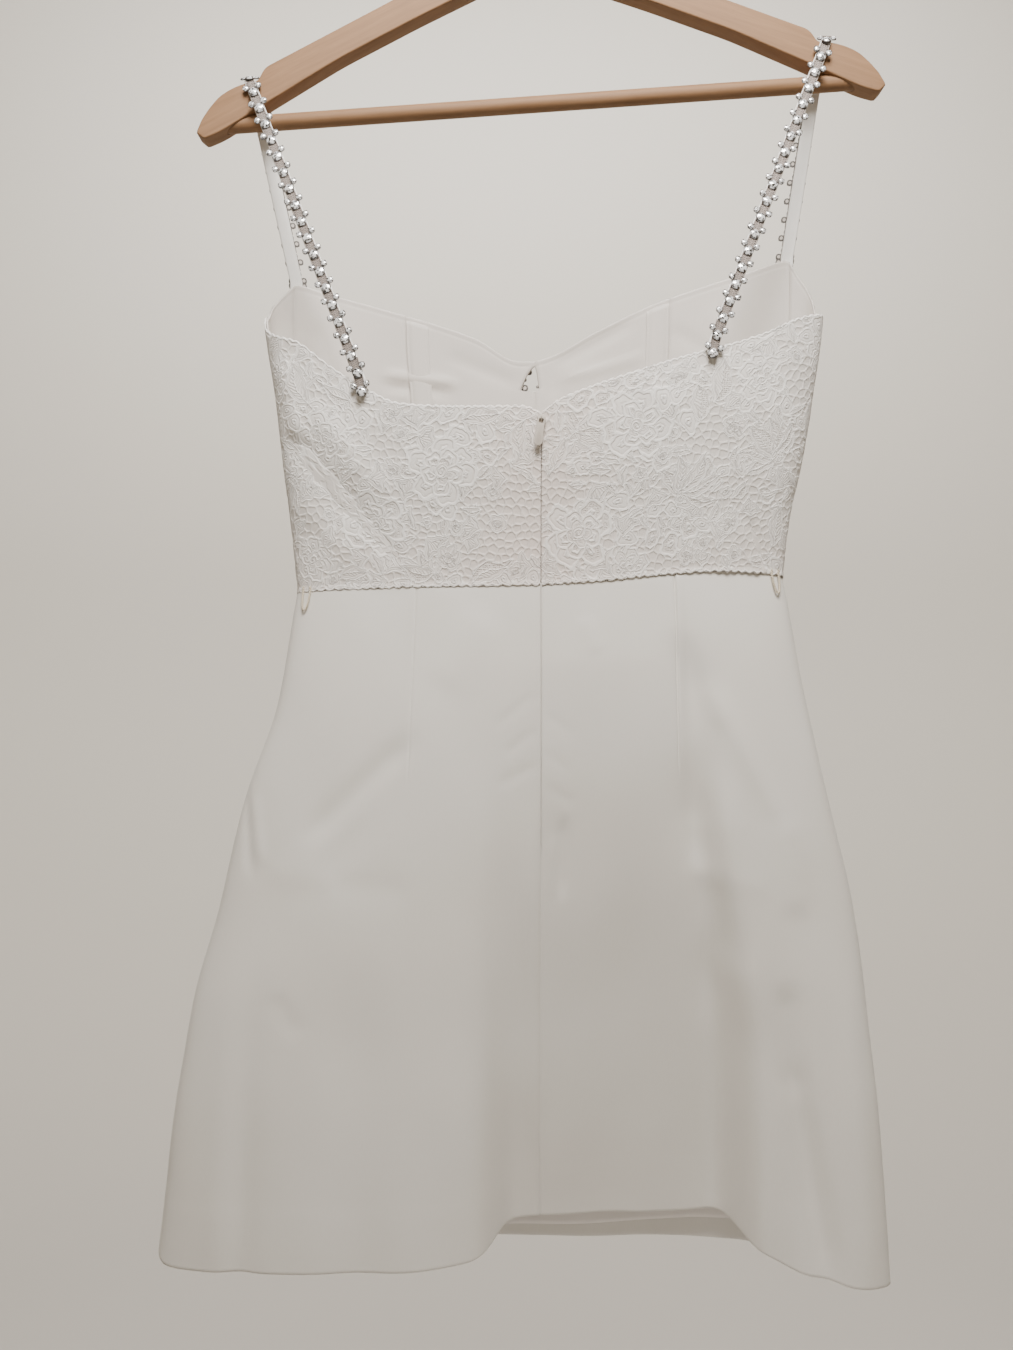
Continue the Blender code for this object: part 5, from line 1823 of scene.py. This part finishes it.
def strap_crystals(side, word):
    """The chain of stones along one strap."""
    random = np.random.default_rng(61 + side)
    points, widths = strap_route(side, RIBBON_THICKNESS + 2 * SEAM)
    stations, place, width, out, way = along_route(points, widths, CRYSTAL_PITCH)
    sets = []
    for number in range(len(stations)):
        forward = float(soft_step(place[number][1] / HANGER_THICKNESS + 0.5))
        centre = place[number] - width[number] * side * 1.8 * forward
        axes = (width[number], way[number], out[number])
        if number == len(stations) - 1:
            axes = (width[number], -way[number], out[number])

        def frame_of(across, along, high, centre=centre, axes=axes):
            return centre + axes[0] * across + axes[1] * along + axes[2] * high

        sets.append(placed(cluster(random), frame_of, random))
    crystal_object(f"strap_crystals_{word}", sets, f"strap_crystals_{word}")


# Stones of the keyhole: share of the way down, below 0 on the left, cup radius and move outwards.
EdgeStone = namedtuple("EdgeStone", "share size aside")
KEYHOLE_STONES = (
    EdgeStone(-0.01, 0.7, 0.0),
    EdgeStone(-0.09, 0.8, 0.0),
    EdgeStone(-0.25, 2.1, -0.3),
    EdgeStone(-0.52, 1.3, 0.2),
    EdgeStone(-0.80, 2.4, -1.7),
    EdgeStone(-0.93, 0.9, 0.4),
    EdgeStone(0.16, 0.8, 0.6),
    EdgeStone(0.42, 1.9, 2.2),
    EdgeStone(0.76, 1.0, -0.9),
    EdgeStone(0.95, 1.9, 2.4),
)


def keyhole_crystals():
    """Small stones down both sides of the keyhole, on the lace's outer face."""
    random = np.random.default_rng(71)
    apex = TOP_EDGE[0].left - 1.0
    base = TOP_EDGE[0].left - KEYHOLE_DEPTH - 1.0
    sets = []
    for share, size, aside in KEYHOLE_STONES:
        height = apex + (base - apex) * abs(share)
        edge = (KEYHOLE_LEFT if share < 0 else KEYHOLE_RIGHT) + 0.4
        reach = abs(share) ** KEYHOLE_BEND * edge + aside
        across = FRONT_CENTRE_SHIFT + NECK_SHIFT + math.copysign(reach, share)
        depth = float(bodice_point(0.0, height)[1]) + 0.75
        pieces = set_stone(0.0, 0.0, Setting(size, 0.5, size * 0.9, 0.8, 6), random)

        def frame_of(x, z, high, centre=(across, depth, height)):
            return np.array([centre[0] - x, centre[1] + high, centre[2] + z])

        sets.append(placed(pieces, frame_of, random))
    crystal_object("keyhole_crystals", sets, "keyhole_crystals")


# ------------------------------------------------------------------------------------ belt loops
LOOP_PLACE = 109.0
LOOP_LENGTH = 15.0
LOOP_HALF_WIDTH = 2.9
LOOP_RISE = 2.0
LOOP_CLEARANCE = 0.8
PLY_RADIUS = 0.40
PLY_OFFSET = 0.34
PLY_TURN = 3.4


def belt_loop(side, word):
    """A twisted thread loop that hangs from the waist seam, just behind the side."""
    degrees = side * LOOP_PLACE
    waist = float(edge_height(WAIST_EDGE, np.array(degrees)))
    ring = bodice_point(degrees + np.array([-1.0, 1.0]), waist)
    normal = np.cross(unit(ring[1] - ring[0]), np.array([0.0, 0.0, -1.0]))
    points = []
    for step in range(121):
        angle = math.pi * step / 120
        drop = LOOP_LENGTH * math.sin(angle) ** 0.8 - LOOP_RISE
        offset = math.degrees(LOOP_HALF_WIDTH * math.cos(angle) / 60.0)
        height = waist - drop
        seat = bodice_point(degrees + offset, max(height, waist))
        point = seat + normal * (LOOP_CLEARANCE + 0.2 * max(drop, 0.0))
        points.append((point[0] + NECK_SHIFT, point[1], height))
    points = resampled(points, 150)
    way = unit(np.gradient(points, axis=0))
    second = unit(np.cross(way, normal))
    third = np.cross(second, way)
    turn = lengths_along(points)[:, None] * (2 * math.pi / PLY_TURN)
    plies = []
    for start in (0.0, math.pi):
        line = points + PLY_OFFSET * (np.cos(turn + start) * second + np.sin(turn + start) * third)
        plies.append(tube_of(line, PLY_RADIUS, 8))
    corners, faces = joined(plies)
    seated(build(f"belt_loop_{word}", corners, faces, THREAD), "thread", f"belt_loop_{word}")


# ---------------------------------------------------------------------------------------- hanger
def curved(points, steps, most):
    """A smooth line through points: straight runs between soft corners of limited reach."""
    points = np.asarray(points, float)
    before = np.roll(points, 1, axis=0)
    after = np.roll(points, -1, axis=0)
    line = []
    for number in range(len(points)):
        reach = min(np.linalg.norm(before[number] - points[number]),
                    np.linalg.norm(after[number] - points[number])) * 0.45
        reach = min(reach, most[number])
        start = points[number] + unit(before[number] - points[number]) * reach
        end = points[number] + unit(after[number] - points[number]) * reach
        for step in range(steps):
            t = step / (steps - 1)
            line.append((1 - t) ** 2 * start + 2 * t * (1 - t) * points[number] + t * t * end)
    return np.array(line)


OUTLINE_POINTS = 560
ARM_EDGE = 1.1
TIP_REACH = 218.0
STEM_DEPTH = 14.0
BAR_SIDES = 40


def hanger_arms():
    """The two arms in one, softly rounded all round, not yet hollowed for the bar."""
    outline = [(corner.across, corner.height) for corner in HANGER_OUTLINE]
    outline += [(-across, height) for across, height in reversed(outline[1:-1])]
    crisp = [1.2 if abs(x) > TIP_REACH else 9.0 for x, _ in outline]
    line = resampled(curved(outline, 6, crisp), OUTLINE_POINTS, closed=True)
    ahead = unit(np.roll(line, -1, axis=0) - np.roll(line, 1, axis=0))
    aside = np.stack([ahead[:, 1], -ahead[:, 0]], axis=1)
    half = HANGER_THICKNESS / 2
    rings = []
    for depth_sign in (-1, 1):
        angles = np.linspace(0, math.pi / 2, 6)
        for angle in (angles[::-1] if depth_sign < 0 else angles):
            depth = depth_sign * (half - ARM_EDGE + ARM_EDGE * math.sin(angle))
            rings.append(at_depth(line + aside * ARM_EDGE * (1 - math.cos(angle)), depth))
    points, faces = stacked(rings)
    flat = np.stack([points[:, 0], np.abs(points[:, 0]) * 0.42 + points[:, 2] + points[:, 1] * 0.5], axis=1)
    turned = np.array([on_hanger(*point) for point in points])
    return build("hanger_arms", turned, turned_out(faces, turned), WOOD, flat)


def bored(target, start, end, radius):
    """Cuts a round hole in a piece."""
    points = np.linspace(np.asarray(start, float), np.asarray(end, float), 2)
    points, faces = tube_of(points, radius, 32)
    guide = build("guide", points, turned_out(faces, points), WOOD, sharp=0)
    cut = target.modifiers.new("cut", "BOOLEAN")
    cut.operation = "DIFFERENCE"
    cut.solver = "EXACT"
    cut.object = guide
    bpy.context.view_layer.update()
    shape = target.evaluated_get(bpy.context.evaluated_depsgraph_get())
    mesh = bpy.data.meshes.new_from_object(shape)
    target.modifiers.clear()
    target.data = mesh
    bpy.data.objects.remove(guide)


def hanger():
    """The wooden arms, the trouser bar let into them, and the wire hook."""
    arms = hanger_arms()
    reach = BAR_HALF_LENGTH + SEAM
    bar_ends = [on_hanger(side * reach, 0.0, BAR_HEIGHT) for side in (-1, 1)]
    bored(arms, bar_ends[0], bar_ends[1], BAR_DIAMETER / 2 + SEAM)
    stem_end = HANGER_TOP - STEM_DEPTH
    bored(arms, on_hanger(0, 0, stem_end - SEAM), on_hanger(0, 0, HANGER_TOP + 5), HOOK_WIRE / 2 + SEAM)
    arms.data.shade_smooth()
    arms.data.set_sharp_from_angle(angle=math.radians(35))
    seated(arms, "wood", "hanger_arms")

    across = np.linspace(-BAR_HALF_LENGTH, BAR_HALF_LENGTH, 90)
    line = np.array([on_hanger(x, 0.0, BAR_HEIGHT) for x in across])
    ends = np.minimum(BAR_HALF_LENGTH - np.abs(across), 1.0)
    points, faces = tube_of(line, BAR_DIAMETER / 2 - 0.6 * (1 - ends), BAR_SIDES)
    ring = np.tile(np.linspace(0, math.pi * BAR_DIAMETER, BAR_SIDES, endpoint=False), len(across))
    flat = np.stack([np.repeat(across, BAR_SIDES), ring], axis=1)
    bar = build("hanger_bar", points, faces, WOOD, flat)
    bar.data.set_sharp_from_angle(angle=math.radians(40))
    seated(bar, "wood", "hanger_bar")

    middle = HOOK_RADIUS + HOOK_WIRE / 2
    points = []
    for x, height in ((0, stem_end), (0, HANGER_TOP - 6), (0, HANGER_TOP + 1), (1.0, HANGER_TOP + 5),
                      (5.5, HANGER_TOP + 11)):
        points.append(on_hanger(x, 0.0, height))
    for step in range(-48, 205, 7):
        angle = math.radians(step)
        points.append((middle * math.cos(angle), 0.0, -HOOK_RADIUS + middle * math.sin(angle)))
    line = resampled(points, 140)
    for _ in range(6):
        line[1:-1] = (line[:-2] + 2 * line[1:-1] + line[2:]) / 4
    radius = np.full(len(line), HOOK_WIRE / 2)
    tip = lengths_along(line)
    radius *= np.sqrt(np.clip((tip[-1] - tip) / 1.9 + 0.1, 0.0, 1.0))
    points, faces = tube_of(line, radius, 24)
    seated(build("hanger_hook", points, faces, STEEL), "steel", "hanger_hook")


# ------------------------------------------------------------------------------- camera and light
CAMERA_PLACE = (-0.0106, -0.6615, -0.535)
LENS = 27.04
SENSOR_WIDTH = 36.0


def camera():
    """The viewing place: straight behind the dress, a little below its waist."""
    data = bpy.data.cameras.new("camera")
    data.sensor_width = SENSOR_WIDTH
    data.lens = LENS
    data.clip_end = 100.0
    made = bpy.data.objects.new("camera", data)
    bpy.context.scene.collection.objects.link(made)
    made.location = CAMERA_PLACE
    made.rotation_euler = (math.pi / 2, 0.0, 0.0)
    bpy.context.scene.camera = made


def lamp(name, place, target, size, strength, colour):
    """A soft square lamp that faces a target."""
    data = bpy.data.lights.new(name, "AREA")
    data.shape = "SQUARE"
    data.size = size
    data.energy = strength
    data.color = colour
    made = bpy.data.objects.new(name, data)
    bpy.context.scene.collection.objects.link(made)
    made.location = place
    made.visible_camera = False
    way = Vector(target) - Vector(place)
    made.rotation_euler = way.to_track_quat("-Z", "Y").to_euler()


FLOOR = -1.9
ROOM_FLAT = 2.4
ROOM_CURVE = 1.8
ROOM_HEIGHT = 6.0
SKY = 0.11
ROOM_SIDES = 96
WALL_LAMPS = {-1: 4.0, 1: 138.0}


def studio():
    """A pale floor that curves up into a round wall, with painted shade on the floor round the dress, a dim
    sky and soft lamps.
    """
    world = bpy.data.worlds.new("studio")
    bpy.context.scene.world = world
    world.use_nodes = True
    sky = world.node_tree.nodes["Background"]
    sky.inputs["Color"].default_value = (*srgb(232, 226, 217), 1.0)
    sky.inputs["Strength"].default_value = SKY

    finish = Finish("floor", 0.95)
    finish.shader.inputs["Specular IOR Level"].default_value = 0.1
    slow = finish.noise(finish.body_places(), 0.6, 2.0)
    away = finish.add("VectorMath", {0: finish.body_places((1, 1, 0))}, operation="LENGTH")
    # Painted shade: the floor within 2 m of the dress is darker, growing pale towards and up the wall.
    wall = finish.ramp(away.outputs["Value"], 2.0, 4.1)
    pale = finish.mix(slow, srgb(229, 224, 215), srgb(233, 228, 219))
    finish.colour(finish.mix(wall, srgb(200, 195, 188), pale))
    profile = [(0.01, 0.0), (1.0, 0.0), (ROOM_FLAT, 0.0)]
    for step in range(1, 13):
        angle = math.pi / 2 * step / 12
        profile.append((ROOM_FLAT + ROOM_CURVE * math.sin(angle), ROOM_CURVE * (1 - math.cos(angle))))
    profile.append((ROOM_FLAT + ROOM_CURVE, ROOM_HEIGHT))
    corners = []
    for reach, height in profile:
        corners += circle((0.0, 0.0, FLOOR), reach, height, ROOM_SIDES)
    faces = quads_of(len(profile), ROOM_SIDES).tolist()
    for start in range(0, (len(profile) - 1) * ROOM_SIDES, ROOM_SIDES):
        last = start + ROOM_SIDES - 1
        faces.append((last, start, start + ROOM_SIDES, last + ROOM_SIDES))
    mesh = bpy.data.meshes.new("floor")
    mesh.from_pydata(corners, [], faces)
    mesh.shade_smooth()
    mesh.materials.append(finish.material)
    floor = bpy.data.objects.new("floor", mesh)
    bpy.context.scene.collection.objects.link(floor)

    lamp("key", (0.04, -0.54, 0.30), (0.0, 0.0, -0.42), 0.4, 18.0, (1.0, 0.975, 0.94))
    lamp("low", (0.07, -0.12, -1.10), (0.07, 0.02, -0.90), 0.3, 0.16, (1.0, 0.97, 0.95))
    lamp("fill", (0.2, 1.2, 0.5), (0.0, 0.0, -0.6), 1.0, 22.0, (1.0, 0.98, 0.95))
    for side in (-1, 1):
        target = (0.0, side * 4.2, 0.2)
        lamp(f"wall_{side + 1}", (0.0, side * 1.9, 2.3), target, 2.4, WALL_LAMPS[side], (1.0, 0.98, 0.95))


camera()
studio()
bodice()
skirt()
zip_tape()
zip_slider_and_pull()
for half_side, half_word in ((-1, "left"), (1, "right")):
    ribbon(half_side, half_word)
    strap_crystals(half_side, half_word)
    belt_loop(half_side, half_word)
keyhole_crystals()
hanger()
